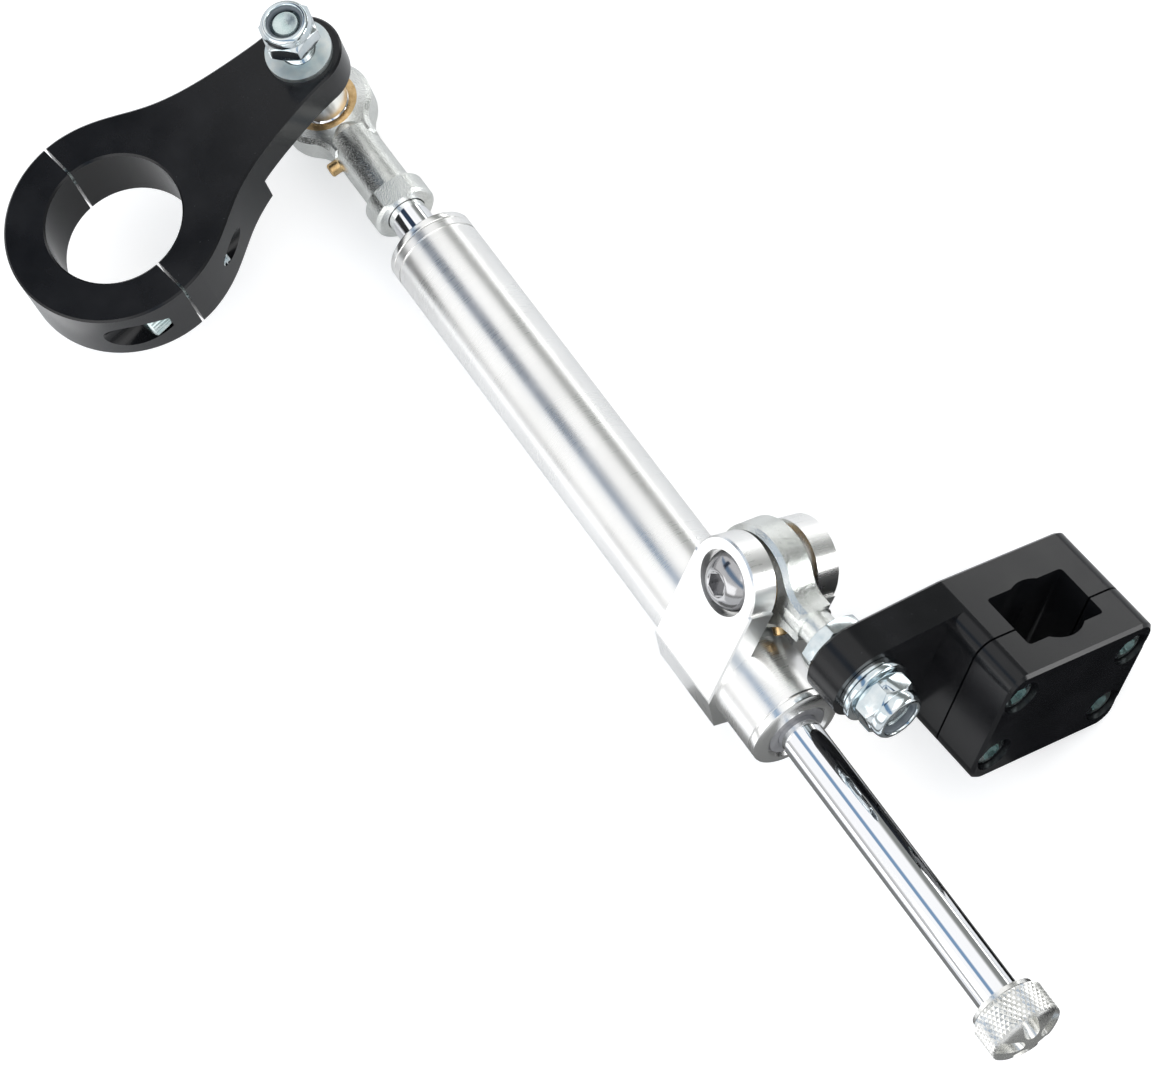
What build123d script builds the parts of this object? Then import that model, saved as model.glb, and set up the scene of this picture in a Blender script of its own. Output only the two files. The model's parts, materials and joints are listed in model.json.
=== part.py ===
# Steering damper with a fork clamp, a through-rod cylinder and a frame clamp, in millimetres.
# The origin is the middle of the fork clamp's bore. +Z is the bore's axis, +X follows the damper.
import os
from math import acos, atan2, cos, radians, sin

from build123d import *

# Fits and clearances
slide_clearance = 0.05
side_clearance = 0.3
joint_gap = 0.3
clearance_hole_gap = 0.25
cut_overrun = 2.0

# Fork clamp
fork_bore_radius = 20.5
fork_ring_radius = 33.0
fork_ring_height = 22.0
fork_arm_thickness = 12.0
fork_arm_length = 73.0
fork_arm_angle = 98.95
fork_tip_radius = 12.5
fork_waist_half_width = 13.6
fork_waist_setback = 13.0
fork_flank_share = 0.42
fork_flank_half_width = 21.0
fork_shoulder_angle = 78.0
fork_boss_reach = 40.5
fork_split_gap = 1.2
fork_edge_chamfer = 0.6
fork_boss_corner_radius = 3.0

# Fork clamp screws
fork_screw_radius = 3.0
fork_screw_offset = 26.9
fork_screw_head_radius = 5.0
fork_screw_head_height = 6.0
fork_screw_seat = 8.0
fork_screw_length = 25.0
fork_screw_socket_radius = 2.9
fork_screw_socket_depth = 3.2
fork_pocket_radius = 5.7

# Joint hardware, size 10
thread_radius = 5.0
nut_across_flats = 17.0
locknut_height = 10.0
locknut_hex_height = 6.6
locknut_collar_radius = 7.9
nylon_height = 2.4
nylon_outer_radius = 6.7
nut_chamfer = 1.0
washer_radius = 10.0
washer_thickness = 2.0
bolt_head_height = 6.4
fork_nut_stand_off = 7.0
bolt_end_recess = 1.3
bolt_end_chamfer = 1.3
spacer_radius = 7.6
jam_nut_height = 5.0

# Spherical rod ends
ball_radius = 9.525
ball_width = 14.0
race_radius = 10.4
head_radius = 14.5
head_thickness = 10.5
head_chamfer = 1.3
neck_radius = 7.5
neck_cone_start = 10.5
neck_cone_end = 14.5
female_web_reach = 19.0
male_web_reach = 20.6
neck_blend_radius = 9.0
female_length = 47.0
female_collar_length = 8.0
female_collar_radius = 9.8
female_collar_flats = 17.0
female_collar_chamfer = 0.9
female_thread_depth = 24.0
female_counterbore_depth = 2.0
male_neck_radius = 5.6
male_neck_length = 21.0
male_stud_length = 55.0
nipple_radius = 2.2
nipple_stand_out = 3.2
nipple_hole_depth = 3.0
nipple_tip_chamfer = 0.7
upper_nipple_reach = 19.0
lower_nipple_angle = -45.0

# Damper axis, measured from the upper ball's centre
damper_tilt = 5.3
damper_drop = 35.87
body_start = 59.6
body_length = 196.4
body_radius = 13.5
tube_bore_radius = 11.0
cap_flange_length = 4.0
cap_spigot_length = 18.0
cap_chamfer = 1.2
cap_groove_width = 0.8
cap_groove_depth = 0.5
tube_groove_inset = 2.4
bush_radius = 7.2
bush_length = 12.0
seal_radius = 8.6
seal_length = 4.5
seal_recess = 0.8

# Piston rod, piston and adjuster
rod_radius = 6.0
rod_stand_out = 94.1
rod_spigot_radius = 4.4
rod_spigot_length = 4.0
piston_setback = 57.0
piston_radius = 10.8
piston_length = 16.0
piston_land = 3.5
piston_groove_radius = 9.4
piston_port_radius = 1.1
piston_port_circle_radius = 8.0
piston_port_count = 4
band_axial_gap = 0.1
needle_radius = 2.5
needle_tip_length = 9.0
needle_tip_radius = 0.8
needle_tip_depth = 7.0
knob_radius = 10.6
knob_length = 11.2
knob_dome = 2.4
knob_dome_share = 0.75
knob_edge_chamfer = 0.5
knob_neck_radius = 9.2
knob_neck_length = 1.4
knob_pocket_radius = 2.0
knob_pocket_inner_radius = 4.0
knob_pocket_depth = 2.6
knob_pocket_count = 5
knob_pocket_start_angle = 7.0

# Body clamp and its pivot screw
pivot_setback = 33.64
pivot_height = 28.7
pivot_angle = 54.0
ear_half_span = 15.0
clamp_half_length = 13.6
ear_radius = 12.9
clamp_wall = 3.6
clamp_corner_height = 5.0
clamp_bottom_half_width = 8.0
clamp_edge_chamfer = 0.5
screw_head_radius = 8.75
screw_head_height = 5.5
screw_head_top_radius = 4.6
screw_head_crown_shares = (0.68, 0.8)
screw_counterbore_radius = 9.3
screw_counterbore_depth = 3.2
screw_socket_flats = 6.0
screw_socket_depth = 3.4

# Frame clamp, measured from the lower ball's centre
lower_swing = 2.0
lower_tilt = 3.9
lower_roll = 3.5
frame_back = 31.7
frame_arm_thickness = 12.0
frame_arm_radius = 11.5
frame_block_width = 54.0
frame_block_height = 41.0
frame_block_depth = 37.8
frame_block_across = 51.5
frame_block_up = -5.5
frame_corner_radius = 5.5
frame_split_depth = 14.3
frame_split_gap = 0.6
frame_edge_chamfer = 0.9
frame_front_wall = 8.7
opening_width = 28.1
opening_depth = 17.7
opening_corner_radius = 1.2
opening_bore_radius = 10.65
opening_bore_offset = 0.6
frame_screw_radius = 3.0
frame_screw_spacing_across = 41.25
frame_screw_spacing_up = 22.7
frame_screw_head_radius = 5.0
frame_screw_head_height = 6.0
frame_counterbore_radius = 5.7
frame_counterbore_depth = 7.2
frame_screw_length = 30.0
frame_screw_socket_radius = 2.9
frame_screw_socket_depth = 3.2


def turned(plane, about_x, about_y, about_z):
    return Plane(plane.location * Location((0, 0, 0), (about_x, about_y, about_z)))


# Planes that carry the pieces
fork_plane = Plane(
    origin=(0, 0, 0),
    x_dir=(cos(radians(fork_arm_angle)), sin(radians(fork_arm_angle)), 0),
    z_dir=(0, 0, 1),
)
fork_top = fork_ring_height / 2
fork_arm_under = fork_top - fork_arm_thickness
ball_level = fork_top - damper_drop
upper_ball_centre = fork_plane.from_local_coords((fork_arm_length, 0, ball_level))
bolt_plane = Plane(origin=upper_ball_centre, x_dir=(1, 0, 0), z_dir=(0, 0, 1))
body_end = body_start + body_length
rod_end = body_end + rod_stand_out
piston_centre = body_end - piston_setback
needle_tip_start = piston_centre - needle_tip_depth
pivot_reach = body_end - pivot_setback
damper_plane = Plane(
    origin=upper_ball_centre,
    x_dir=(0, 1, 0),
    z_dir=(cos(radians(damper_tilt)), 0, sin(radians(damper_tilt))),
)
damper_side = Plane(origin=upper_ball_centre, x_dir=damper_plane.z_dir, z_dir=-damper_plane.x_dir)
damper_axis = Axis(damper_plane.origin, damper_plane.z_dir)
pivot_plane = turned(damper_plane.offset(pivot_reach), 0, 0, pivot_angle - 90)
lower_ball_centre = pivot_plane.from_local_coords((0, pivot_height, 0))
screw_plane = Plane(origin=lower_ball_centre, x_dir=pivot_plane.z_dir, z_dir=-pivot_plane.x_dir)
lower_aligned = Plane(origin=lower_ball_centre, x_dir=pivot_plane.x_dir, z_dir=pivot_plane.z_dir)
frame_plane = turned(lower_aligned, -lower_swing, lower_tilt, lower_roll)
frame_side = Plane(origin=lower_ball_centre, x_dir=frame_plane.z_dir, z_dir=frame_plane.y_dir)

ball_half_width = ball_width / 2
bolt_head_top = ball_half_width + side_clearance


def hex_prism(plane, start, height, across_flats):
    with BuildSketch(plane.offset(start), mode=Mode.PRIVATE) as hexagon:
        RegularPolygon(across_flats / 2, 6, major_radius=False)
    extrude(hexagon.sketch, amount=height)


def cylinder_on(plane, start, length, radius, mode=Mode.ADD):
    with BuildSketch(plane.offset(start), mode=Mode.PRIVATE) as disc:
        Circle(radius)
    extrude(disc.sketch, amount=length, mode=mode)


def washer(plane, start):
    with BuildPart() as ring:
        with BuildSketch(plane.offset(start)):
            Circle(washer_radius)
            Circle(thread_radius + clearance_hole_gap, mode=Mode.SUBTRACT)
        extrude(amount=washer_thickness)
    return ring.part


def locknut(plane, start):
    collar_height = locknut_height - locknut_hex_height
    with BuildPart() as nut:
        hex_prism(plane, start, locknut_hex_height, nut_across_flats)
        cylinder_on(plane, start + locknut_hex_height, collar_height, locknut_collar_radius)
        top_rim = nut.faces().sort_by(Axis(plane.origin, plane.z_dir))[-1].edges()
        chamfer(top_rim, nut_chamfer)
        cylinder_on(plane, start, locknut_height, thread_radius, Mode.SUBTRACT)
        nylon_start = start + locknut_height - nylon_height
        cylinder_on(plane, nylon_start, nylon_height, nylon_outer_radius, Mode.SUBTRACT)
    return nut.part


def nylon_insert(plane, start):
    with BuildPart() as insert:
        with BuildSketch(plane.offset(start + locknut_height - nylon_height)):
            Circle(nylon_outer_radius)
            Circle(thread_radius, mode=Mode.SUBTRACT)
        extrude(amount=nylon_height)
    return insert.part


def ball(plane):
    with BuildPart() as sphere:
        with BuildSketch(Plane(origin=plane.origin, x_dir=plane.x_dir, z_dir=plane.y_dir)):
            Circle(ball_radius)
            Rectangle(ball_radius * 2, ball_width, mode=Mode.INTERSECT)
            with Locations((-ball_radius, 0)):
                Rectangle(ball_radius * 2, ball_width, mode=Mode.SUBTRACT)
        revolve(axis=Axis(plane.origin, plane.z_dir))
        hole_radius = thread_radius + slide_clearance
        cylinder_on(plane, -ball_half_width, ball_width, hole_radius, Mode.SUBTRACT)
    return sphere.part


def race(plane):
    with BuildPart() as ring:
        cylinder_on(plane, -head_thickness / 2, head_thickness, race_radius)
        with Locations(Location(plane.origin)):
            Sphere(ball_radius + slide_clearance, mode=Mode.SUBTRACT)
    return ring.part


def bore_rims(clamp):
    circles = clamp.edges().filter_by(GeomType.CIRCLE)
    return circles.filter_by(lambda edge: abs(edge.radius - fork_bore_radius) < slide_clearance)


# Fork clamp arm: half ring, thick boss and thin arm that narrows to a round tip
with BuildPart() as fork_arm:
    with BuildSketch(fork_plane.offset(fork_arm_under)) as arm_outline:
        with BuildLine():
            shoulder = radians(fork_shoulder_angle)
            shoulder_reach = fork_ring_radius * cos(shoulder)
            shoulder_half_width = fork_ring_radius * sin(shoulder)
            flank_reach = fork_arm_length * fork_flank_share
            waist_reach = fork_arm_length - fork_waist_setback
            left = Spline(
                (shoulder_reach, shoulder_half_width),
                (flank_reach, fork_flank_half_width),
                (waist_reach, fork_waist_half_width),
                (fork_arm_length, fork_tip_radius),
                tangents=((sin(shoulder), -cos(shoulder)), (1, 0)),
            )
            mirror(left, about=Plane.XZ)
            RadiusArc(left @ 1, (fork_arm_length, -fork_tip_radius), fork_tip_radius)
            Line(left @ 0, (shoulder_reach, -shoulder_half_width))
        make_face()
        Circle(fork_ring_radius)
    extrude(amount=fork_arm_thickness)
    with BuildSketch(fork_plane.offset(-fork_top)):
        add(arm_outline.sketch_local)
        with Locations((fork_boss_reach - fork_arm_length, 0)):
            boss_length = fork_arm_length * 2
            RectangleRounded(boss_length, boss_length, fork_boss_corner_radius, mode=Mode.INTERSECT)
    extrude(amount=fork_ring_height)
    chamfer(fork_arm.faces().sort_by(Axis.Z)[-1].edges(), fork_edge_chamfer)
    chamfer(fork_arm.faces().sort_by(Axis.Z)[0].edges(), fork_edge_chamfer)
    cylinder_on(fork_plane, -fork_top, fork_ring_height, fork_bore_radius, Mode.SUBTRACT)
    chamfer(bore_rims(fork_arm), fork_edge_chamfer)
    with BuildSketch(fork_plane.offset(-fork_top)):
        with Locations((fork_split_gap / 2 - fork_arm_length, 0)):
            Rectangle(fork_arm_length * 2, fork_arm_length * 2)
    extrude(amount=fork_ring_height, mode=Mode.SUBTRACT)
    bolt_hole = thread_radius + clearance_hole_gap
    with BuildSketch(fork_plane.offset(fork_arm_under)):
        with Locations((fork_arm_length, 0)):
            Circle(bolt_hole)
    extrude(amount=fork_arm_thickness, mode=Mode.SUBTRACT)
    screw_side = Plane(origin=(0, 0, 0), x_dir=fork_plane.y_dir, z_dir=fork_plane.x_dir)
    with BuildSketch(screw_side):
        with Locations((fork_screw_offset, 0), (-fork_screw_offset, 0)):
            Circle(fork_screw_radius)
    extrude(amount=fork_boss_reach, mode=Mode.SUBTRACT)
fork_arm.part.label = "fork_arm"

# Fork clamp cap: the other half ring, with a pocket round each screw head
with BuildPart() as fork_cap:
    with BuildSketch(fork_plane.offset(-fork_top)):
        Circle(fork_ring_radius)
    extrude(amount=fork_ring_height)
    chamfer(fork_cap.edges().filter_by(GeomType.CIRCLE), fork_edge_chamfer)
    cylinder_on(fork_plane, -fork_top, fork_ring_height, fork_bore_radius, Mode.SUBTRACT)
    chamfer(bore_rims(fork_cap), fork_edge_chamfer)
    with BuildSketch(fork_plane.offset(-fork_top)):
        with Locations((fork_arm_length - fork_split_gap / 2, 0)):
            Rectangle(fork_arm_length * 2, fork_arm_length * 2)
    extrude(amount=fork_ring_height, mode=Mode.SUBTRACT)
    with BuildSketch(screw_side):
        with Locations((fork_screw_offset, 0), (-fork_screw_offset, 0)):
            Circle(fork_screw_radius + clearance_hole_gap)
    extrude(amount=-fork_ring_radius, mode=Mode.SUBTRACT)
    with BuildSketch(screw_side.offset(-fork_screw_seat)):
        with Locations((fork_screw_offset, 0), (-fork_screw_offset, 0)):
            Circle(fork_pocket_radius)
    extrude(amount=-fork_ring_radius, mode=Mode.SUBTRACT)
fork_cap.part.label = "fork_cap"

# Fork clamp screws: two socket screws that run along the arm
with BuildPart() as fork_screws:
    with BuildSketch(screw_side.offset(-fork_screw_seat)) as fork_screw_spots:
        with Locations((fork_screw_offset, 0), (-fork_screw_offset, 0)):
            Circle(fork_screw_radius)
    extrude(amount=fork_screw_length)
    with BuildSketch(screw_side.offset(-fork_screw_seat)):
        with Locations((fork_screw_offset, 0), (-fork_screw_offset, 0)):
            Circle(fork_screw_head_radius)
    extrude(amount=-fork_screw_head_height)
    with BuildSketch(screw_side.offset(-fork_screw_seat - fork_screw_head_height)):
        with Locations((fork_screw_offset, 0), (-fork_screw_offset, 0)):
            RegularPolygon(fork_screw_socket_radius, 6)
    extrude(amount=fork_screw_socket_depth, mode=Mode.SUBTRACT)
fork_screws.part.label = "fork_screws"

# Bolt through the fork arm, spacer and upper ball, with its head below
fork_nut_start = damper_drop + washer_thickness + fork_nut_stand_off
bolt_top = fork_nut_start + locknut_height - bolt_end_recess
with BuildPart() as fork_bolt:
    cylinder_on(bolt_plane, -bolt_head_top, bolt_top + bolt_head_top, thread_radius)
    chamfer(fork_bolt.faces().sort_by(Axis.Z)[-1].edges(), bolt_end_chamfer)
    hex_prism(bolt_plane, -bolt_head_top, -bolt_head_height, nut_across_flats)
fork_bolt.part.label = "fork_bolt"

# Spacer tube between the arm and the upper ball
spacer_start = ball_half_width + side_clearance
spacer_end = damper_drop - fork_arm_thickness
with BuildPart() as spacer:
    with BuildSketch(bolt_plane.offset(spacer_start)):
        Circle(spacer_radius)
        Circle(thread_radius + slide_clearance, mode=Mode.SUBTRACT)
    extrude(amount=spacer_end - spacer_start)
spacer.part.label = "spacer"

fork_washer = washer(bolt_plane, damper_drop)
fork_washer.label = "fork_washer"
fork_locknut = locknut(bolt_plane, fork_nut_start)
fork_locknut.label = "fork_locknut"
fork_nut_insert = nylon_insert(bolt_plane, fork_nut_start)
fork_nut_insert.label = "fork_nut_insert"

# Upper rod end: ball, race, forged female housing and grease nipple
upper_head_plane = Plane(
    origin=upper_ball_centre, x_dir=damper_plane.z_dir, z_dir=damper_plane.y_dir
)
upper_ball = ball(bolt_plane)
upper_ball.label = "upper_ball"
upper_race = race(upper_head_plane)
upper_race.label = "upper_race"


def rod_end_head(plane, neck_half_width, web_reach):
    # a disc that narrows into the neck through a hollow curve on either side
    with BuildSketch(plane.offset(-head_thickness / 2), mode=Mode.PRIVATE) as outline:
        Circle(head_radius)
        with Locations((web_reach / 2, 0)):
            Rectangle(web_reach, neck_half_width * 2)
        junctions = outline.vertices().group_by(Axis.X)[-2]
        fillet(junctions, neck_blend_radius)
    extrude(outline.sketch, amount=head_thickness)


with BuildPart() as upper_housing:
    rod_end_head(upper_head_plane, neck_radius, female_web_reach)
    flat_faces = upper_housing.faces().filter_by(Axis(upper_ball_centre, upper_head_plane.z_dir))
    chamfer(flat_faces.edges(), head_chamfer)
    collar_start = female_length - female_collar_length
    with BuildSketch(damper_side):
        with BuildLine():
            Polyline(
                (neck_cone_start, 0),
                (neck_cone_start, head_thickness / 2),
                (neck_cone_end, neck_radius),
                (collar_start, neck_radius),
                (collar_start + female_collar_chamfer, female_collar_radius),
                (female_length - female_collar_chamfer, female_collar_radius),
                (female_length, female_collar_radius - female_collar_chamfer),
                (female_length, 0),
                close=True,
            )
        make_face()
    revolve(axis=damper_axis)
    with BuildSketch(damper_plane.offset(collar_start)):
        Circle(female_collar_radius * 2)
        Rectangle(female_collar_radius * 4, female_collar_flats, mode=Mode.SUBTRACT)
    extrude(amount=female_collar_length, mode=Mode.SUBTRACT)
    cylinder_on(upper_head_plane, -head_thickness, head_thickness * 2, race_radius, Mode.SUBTRACT)
    thread_start = female_length - female_thread_depth
    cylinder_on(damper_plane, thread_start, female_thread_depth, thread_radius, Mode.SUBTRACT)
    counterbore_start = female_length - female_counterbore_depth
    counterbore_radius = rod_radius + clearance_hole_gap
    cylinder_on(
        damper_plane, counterbore_start, female_counterbore_depth, counterbore_radius, Mode.SUBTRACT
    )
    nipple_root = Plane(
        origin=upper_head_plane.from_local_coords((upper_nipple_reach, 0, 0)),
        x_dir=upper_head_plane.z_dir,
        z_dir=-damper_plane.x_dir,
    )
    nipple_start = neck_radius - nipple_hole_depth / 2
    cylinder_on(nipple_root, nipple_start, nipple_hole_depth, nipple_radius, Mode.SUBTRACT)
upper_housing.part.label = "upper_housing"

with BuildPart() as upper_nipple:
    cylinder_on(nipple_root, nipple_start, neck_radius - nipple_start + nipple_stand_out, nipple_radius)
    nipple_tip = upper_nipple.faces().sort_by(Axis(nipple_root.origin, nipple_root.z_dir))[-1]
    chamfer(nipple_tip.edges(), nipple_tip_chamfer)
upper_nipple.part.label = "upper_nipple"

# Piston rod: polished bar with a threaded end, a hollow core and a spigot for the knob
needle_bore_radius = needle_radius + slide_clearance
with BuildPart() as piston_rod:
    cylinder_on(damper_plane, thread_start, female_thread_depth, thread_radius)
    cylinder_on(damper_plane, counterbore_start, rod_end - counterbore_start, rod_radius)
    cylinder_on(damper_plane, rod_end, rod_spigot_length, rod_spigot_radius)
    core_length = rod_end + rod_spigot_length - needle_tip_start
    cylinder_on(damper_plane, needle_tip_start, core_length, needle_bore_radius, Mode.SUBTRACT)
piston_rod.part.label = "piston_rod"

# Piston with four oil ports and a groove for its band
piston_start = piston_centre - piston_length / 2
groove_start = piston_start + piston_land
groove_length = piston_length - piston_land * 2
with BuildPart() as piston:
    cylinder_on(damper_plane, piston_start, piston_length, piston_radius)
    with BuildSketch(damper_plane.offset(groove_start)):
        Circle(piston_radius + slide_clearance)
        Circle(piston_groove_radius, mode=Mode.SUBTRACT)
    extrude(amount=groove_length, mode=Mode.SUBTRACT)
    with BuildSketch(damper_plane.offset(piston_start)):
        Circle(rod_radius)
        with PolarLocations(piston_port_circle_radius, piston_port_count):
            Circle(piston_port_radius)
    extrude(amount=piston_length, mode=Mode.SUBTRACT)
piston.part.label = "piston"

with BuildPart() as piston_band:
    with BuildSketch(damper_plane.offset(groove_start + band_axial_gap)):
        Circle(tube_bore_radius - slide_clearance)
        Circle(piston_groove_radius + slide_clearance, mode=Mode.SUBTRACT)
    extrude(amount=groove_length - band_axial_gap * 2)
piston_band.part.label = "piston_band"

# Adjuster knob: domed face with five pockets that ramp up to its rim
knob_start = rod_end + joint_gap
with BuildPart() as knob:
    with BuildSketch(damper_side):
        with BuildLine():
            rim_end = knob_start + knob_length
            Polyline(
                (rim_end, knob_radius - knob_edge_chamfer),
                (rim_end - knob_edge_chamfer, knob_radius),
                (knob_start + knob_neck_length, knob_radius),
                (knob_start + knob_neck_length, knob_neck_radius),
                (knob_start, knob_neck_radius),
                (knob_start, 0),
                (rim_end + knob_dome, 0),
            )
            ThreePointArc(
                (rim_end + knob_dome, 0),
                (rim_end + knob_dome * knob_dome_share, knob_radius / 2),
                (rim_end, knob_radius - knob_edge_chamfer),
            )
        make_face()
    revolve(axis=damper_axis)
    spigot_room = rod_spigot_length + joint_gap
    spigot_hole = rod_spigot_radius + slide_clearance
    cylinder_on(damper_plane, knob_start, spigot_room, spigot_hole, Mode.SUBTRACT)
    pocket_tilt = atan2(knob_pocket_depth, knob_radius - knob_pocket_inner_radius)
    for index in range(knob_pocket_count):
        pocket_angle = knob_pocket_start_angle + index * 360 / knob_pocket_count
        spoke = turned(damper_plane.offset(rim_end), 0, 0, pocket_angle)
        pocket_plane = Plane(
            origin=spoke.from_local_coords(
                (knob_pocket_inner_radius, 0, knob_pocket_radius - knob_pocket_depth)
            ),
            x_dir=spoke.y_dir,
            z_dir=spoke.x_dir * cos(pocket_tilt) + spoke.z_dir * sin(pocket_tilt),
        )
        cylinder_on(pocket_plane, 0, knob_radius, knob_pocket_radius, Mode.SUBTRACT)
knob.part.label = "knob"

# Needle that the knob turns inside the hollow rod
needle_end = knob_start + spigot_room
with BuildPart() as adjuster_needle:
    needle_shoulder = needle_tip_start + needle_tip_length
    with BuildSketch(damper_side):
        with BuildLine():
            Polyline(
                (needle_tip_start + joint_gap, 0),
                (needle_tip_start + joint_gap, needle_tip_radius),
                (needle_shoulder, needle_radius),
                (needle_end, needle_radius),
                (needle_end, 0),
                close=True,
            )
        make_face()
    revolve(axis=damper_axis)
adjuster_needle.part.label = "adjuster_needle"

# Cylinder tube, with a fine turned groove near its upper end
tube_start = body_start + cap_flange_length
tube_end = body_end - cap_flange_length
with BuildPart() as tube:
    with BuildSketch(damper_plane.offset(tube_start)):
        Circle(body_radius)
        Circle(tube_bore_radius, mode=Mode.SUBTRACT)
    extrude(amount=tube_end - tube_start)
    with BuildSketch(damper_plane.offset(tube_start + tube_groove_inset)):
        Circle(body_radius + cut_overrun)
        Circle(body_radius - cap_groove_depth, mode=Mode.SUBTRACT)
    extrude(amount=cap_groove_width, mode=Mode.SUBTRACT)
tube.part.label = "tube"


def end_cap(outer_face, inward):
    spigot_end = outer_face + inward * (cap_flange_length + cap_spigot_length)
    flange_end = outer_face + inward * cap_flange_length
    groove_edge = flange_end - inward * cap_groove_width
    running_radius = rod_radius + slide_clearance
    seal_floor = outer_face + inward * (seal_recess + seal_length)
    bush_floor = seal_floor + inward * bush_length
    with BuildPart() as cap:
        with BuildSketch(damper_side):
            with BuildLine():
                Polyline(
                    (outer_face, seal_radius),
                    (outer_face, body_radius - cap_chamfer),
                    (outer_face + inward * cap_chamfer, body_radius),
                    (groove_edge, body_radius),
                    (groove_edge, body_radius - cap_groove_depth),
                    (flange_end, body_radius - cap_groove_depth),
                    (flange_end, tube_bore_radius),
                    (spigot_end, tube_bore_radius),
                    (spigot_end, running_radius + clearance_hole_gap),
                    (bush_floor, running_radius + clearance_hole_gap),
                    (bush_floor, bush_radius),
                    (seal_floor, bush_radius),
                    (seal_floor, seal_radius),
                    close=True,
                )
            make_face()
        revolve(axis=damper_axis)
    return cap.part


upper_cap = end_cap(body_start, 1)
upper_cap.label = "upper_cap"
lower_cap = end_cap(body_end, -1)
lower_cap.label = "lower_cap"

# Guide bushes and lip seals, one of each in either cap
running_radius = rod_radius + slide_clearance
seal_starts = (body_start + seal_recess, body_end - seal_recess - seal_length)
with BuildPart() as rod_seals:
    for start in seal_starts:
        with BuildSketch(damper_plane.offset(start)):
            Circle(seal_radius)
            Circle(running_radius, mode=Mode.SUBTRACT)
        extrude(amount=seal_length)
rod_seals.part.label = "rod_seals"

bush_starts = (seal_starts[0] + seal_length, seal_starts[1] - bush_length)
with BuildPart() as rod_bushes:
    for start in bush_starts:
        with BuildSketch(damper_plane.offset(start)):
            Circle(bush_radius)
            Circle(running_radius, mode=Mode.SUBTRACT)
        extrude(amount=bush_length)
rod_bushes.part.label = "rod_bushes"

# Body clamp: split block round the tube whose two ears hold the lower ball
with BuildPart() as body_clamp:
    clamp_bottom = -body_radius - clamp_wall
    with BuildSketch(pivot_plane.offset(-clamp_half_length)):
        with BuildLine():
            Polyline(
                (ear_half_span, pivot_height + ear_radius),
                (ear_half_span, -clamp_corner_height),
                (clamp_bottom_half_width, clamp_bottom),
                (-clamp_bottom_half_width, clamp_bottom),
                (-ear_half_span, -clamp_corner_height),
                (-ear_half_span, pivot_height + ear_radius),
                close=True,
            )
        make_face()
        Circle(body_radius, mode=Mode.SUBTRACT)
        with Locations((0, pivot_height)):
            Rectangle(ball_width + side_clearance * 2, pivot_height * 2, mode=Mode.SUBTRACT)
    extrude(amount=clamp_half_length * 2)
    with BuildSketch(screw_plane.offset(-ear_half_span)):
        Circle(ear_radius)
        with Locations((0, -pivot_height)):
            ear_shoulder = pivot_height * 2
            Rectangle(clamp_half_length * 2, ear_shoulder)
    extrude(amount=ear_half_span * 2, mode=Mode.INTERSECT)
    ear_faces = body_clamp.faces().sort_by(Axis(lower_ball_centre, screw_plane.z_dir))
    chamfer(ear_faces[-1].edges() + ear_faces[0].edges(), clamp_edge_chamfer)
    pivot_hole = thread_radius + clearance_hole_gap
    cylinder_on(screw_plane, 0, ear_half_span, pivot_hole, Mode.SUBTRACT)
    cylinder_on(screw_plane, -ear_half_span, ear_half_span, thread_radius, Mode.SUBTRACT)
    head_seat = ear_half_span - screw_counterbore_depth
    cylinder_on(
        screw_plane, head_seat, screw_counterbore_depth, screw_counterbore_radius, Mode.SUBTRACT
    )
body_clamp.part.label = "body_clamp"

# Pivot screw: button head with a hexagon socket, threaded into the far ear
crown_height, crown_radius = screw_head_crown_shares
with BuildPart() as pivot_screw:
    with BuildSketch(Plane(origin=lower_ball_centre, x_dir=screw_plane.z_dir, z_dir=screw_plane.y_dir)):
        with BuildLine():
            Polyline(
                (head_seat + screw_head_height, screw_head_top_radius),
                (head_seat + screw_head_height, 0),
                (-ear_half_span, 0),
                (-ear_half_span, thread_radius),
                (head_seat, thread_radius),
                (head_seat, screw_head_radius),
            )
            ThreePointArc(
                (head_seat, screw_head_radius),
                (head_seat + screw_head_height * crown_height, screw_head_radius * crown_radius),
                (head_seat + screw_head_height, screw_head_top_radius),
            )
        make_face()
    revolve(axis=Axis(lower_ball_centre, screw_plane.z_dir))
    with BuildSketch(screw_plane.offset(head_seat + screw_head_height)):
        RegularPolygon(screw_socket_flats / 2, 6, major_radius=False)
    extrude(amount=-screw_socket_depth, mode=Mode.SUBTRACT)
pivot_screw.part.label = "pivot_screw"

# Lower rod end: ball, race, forged male housing with its stud, and grease nipple
lower_ball = ball(screw_plane)
lower_ball.label = "lower_ball"
lower_head_plane = Plane(
    origin=lower_ball_centre, x_dir=frame_plane.z_dir, z_dir=-frame_plane.x_dir
)
lower_race = race(lower_head_plane)
lower_race.label = "lower_race"
lower_nipple_start = head_radius - nipple_hole_depth

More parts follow.
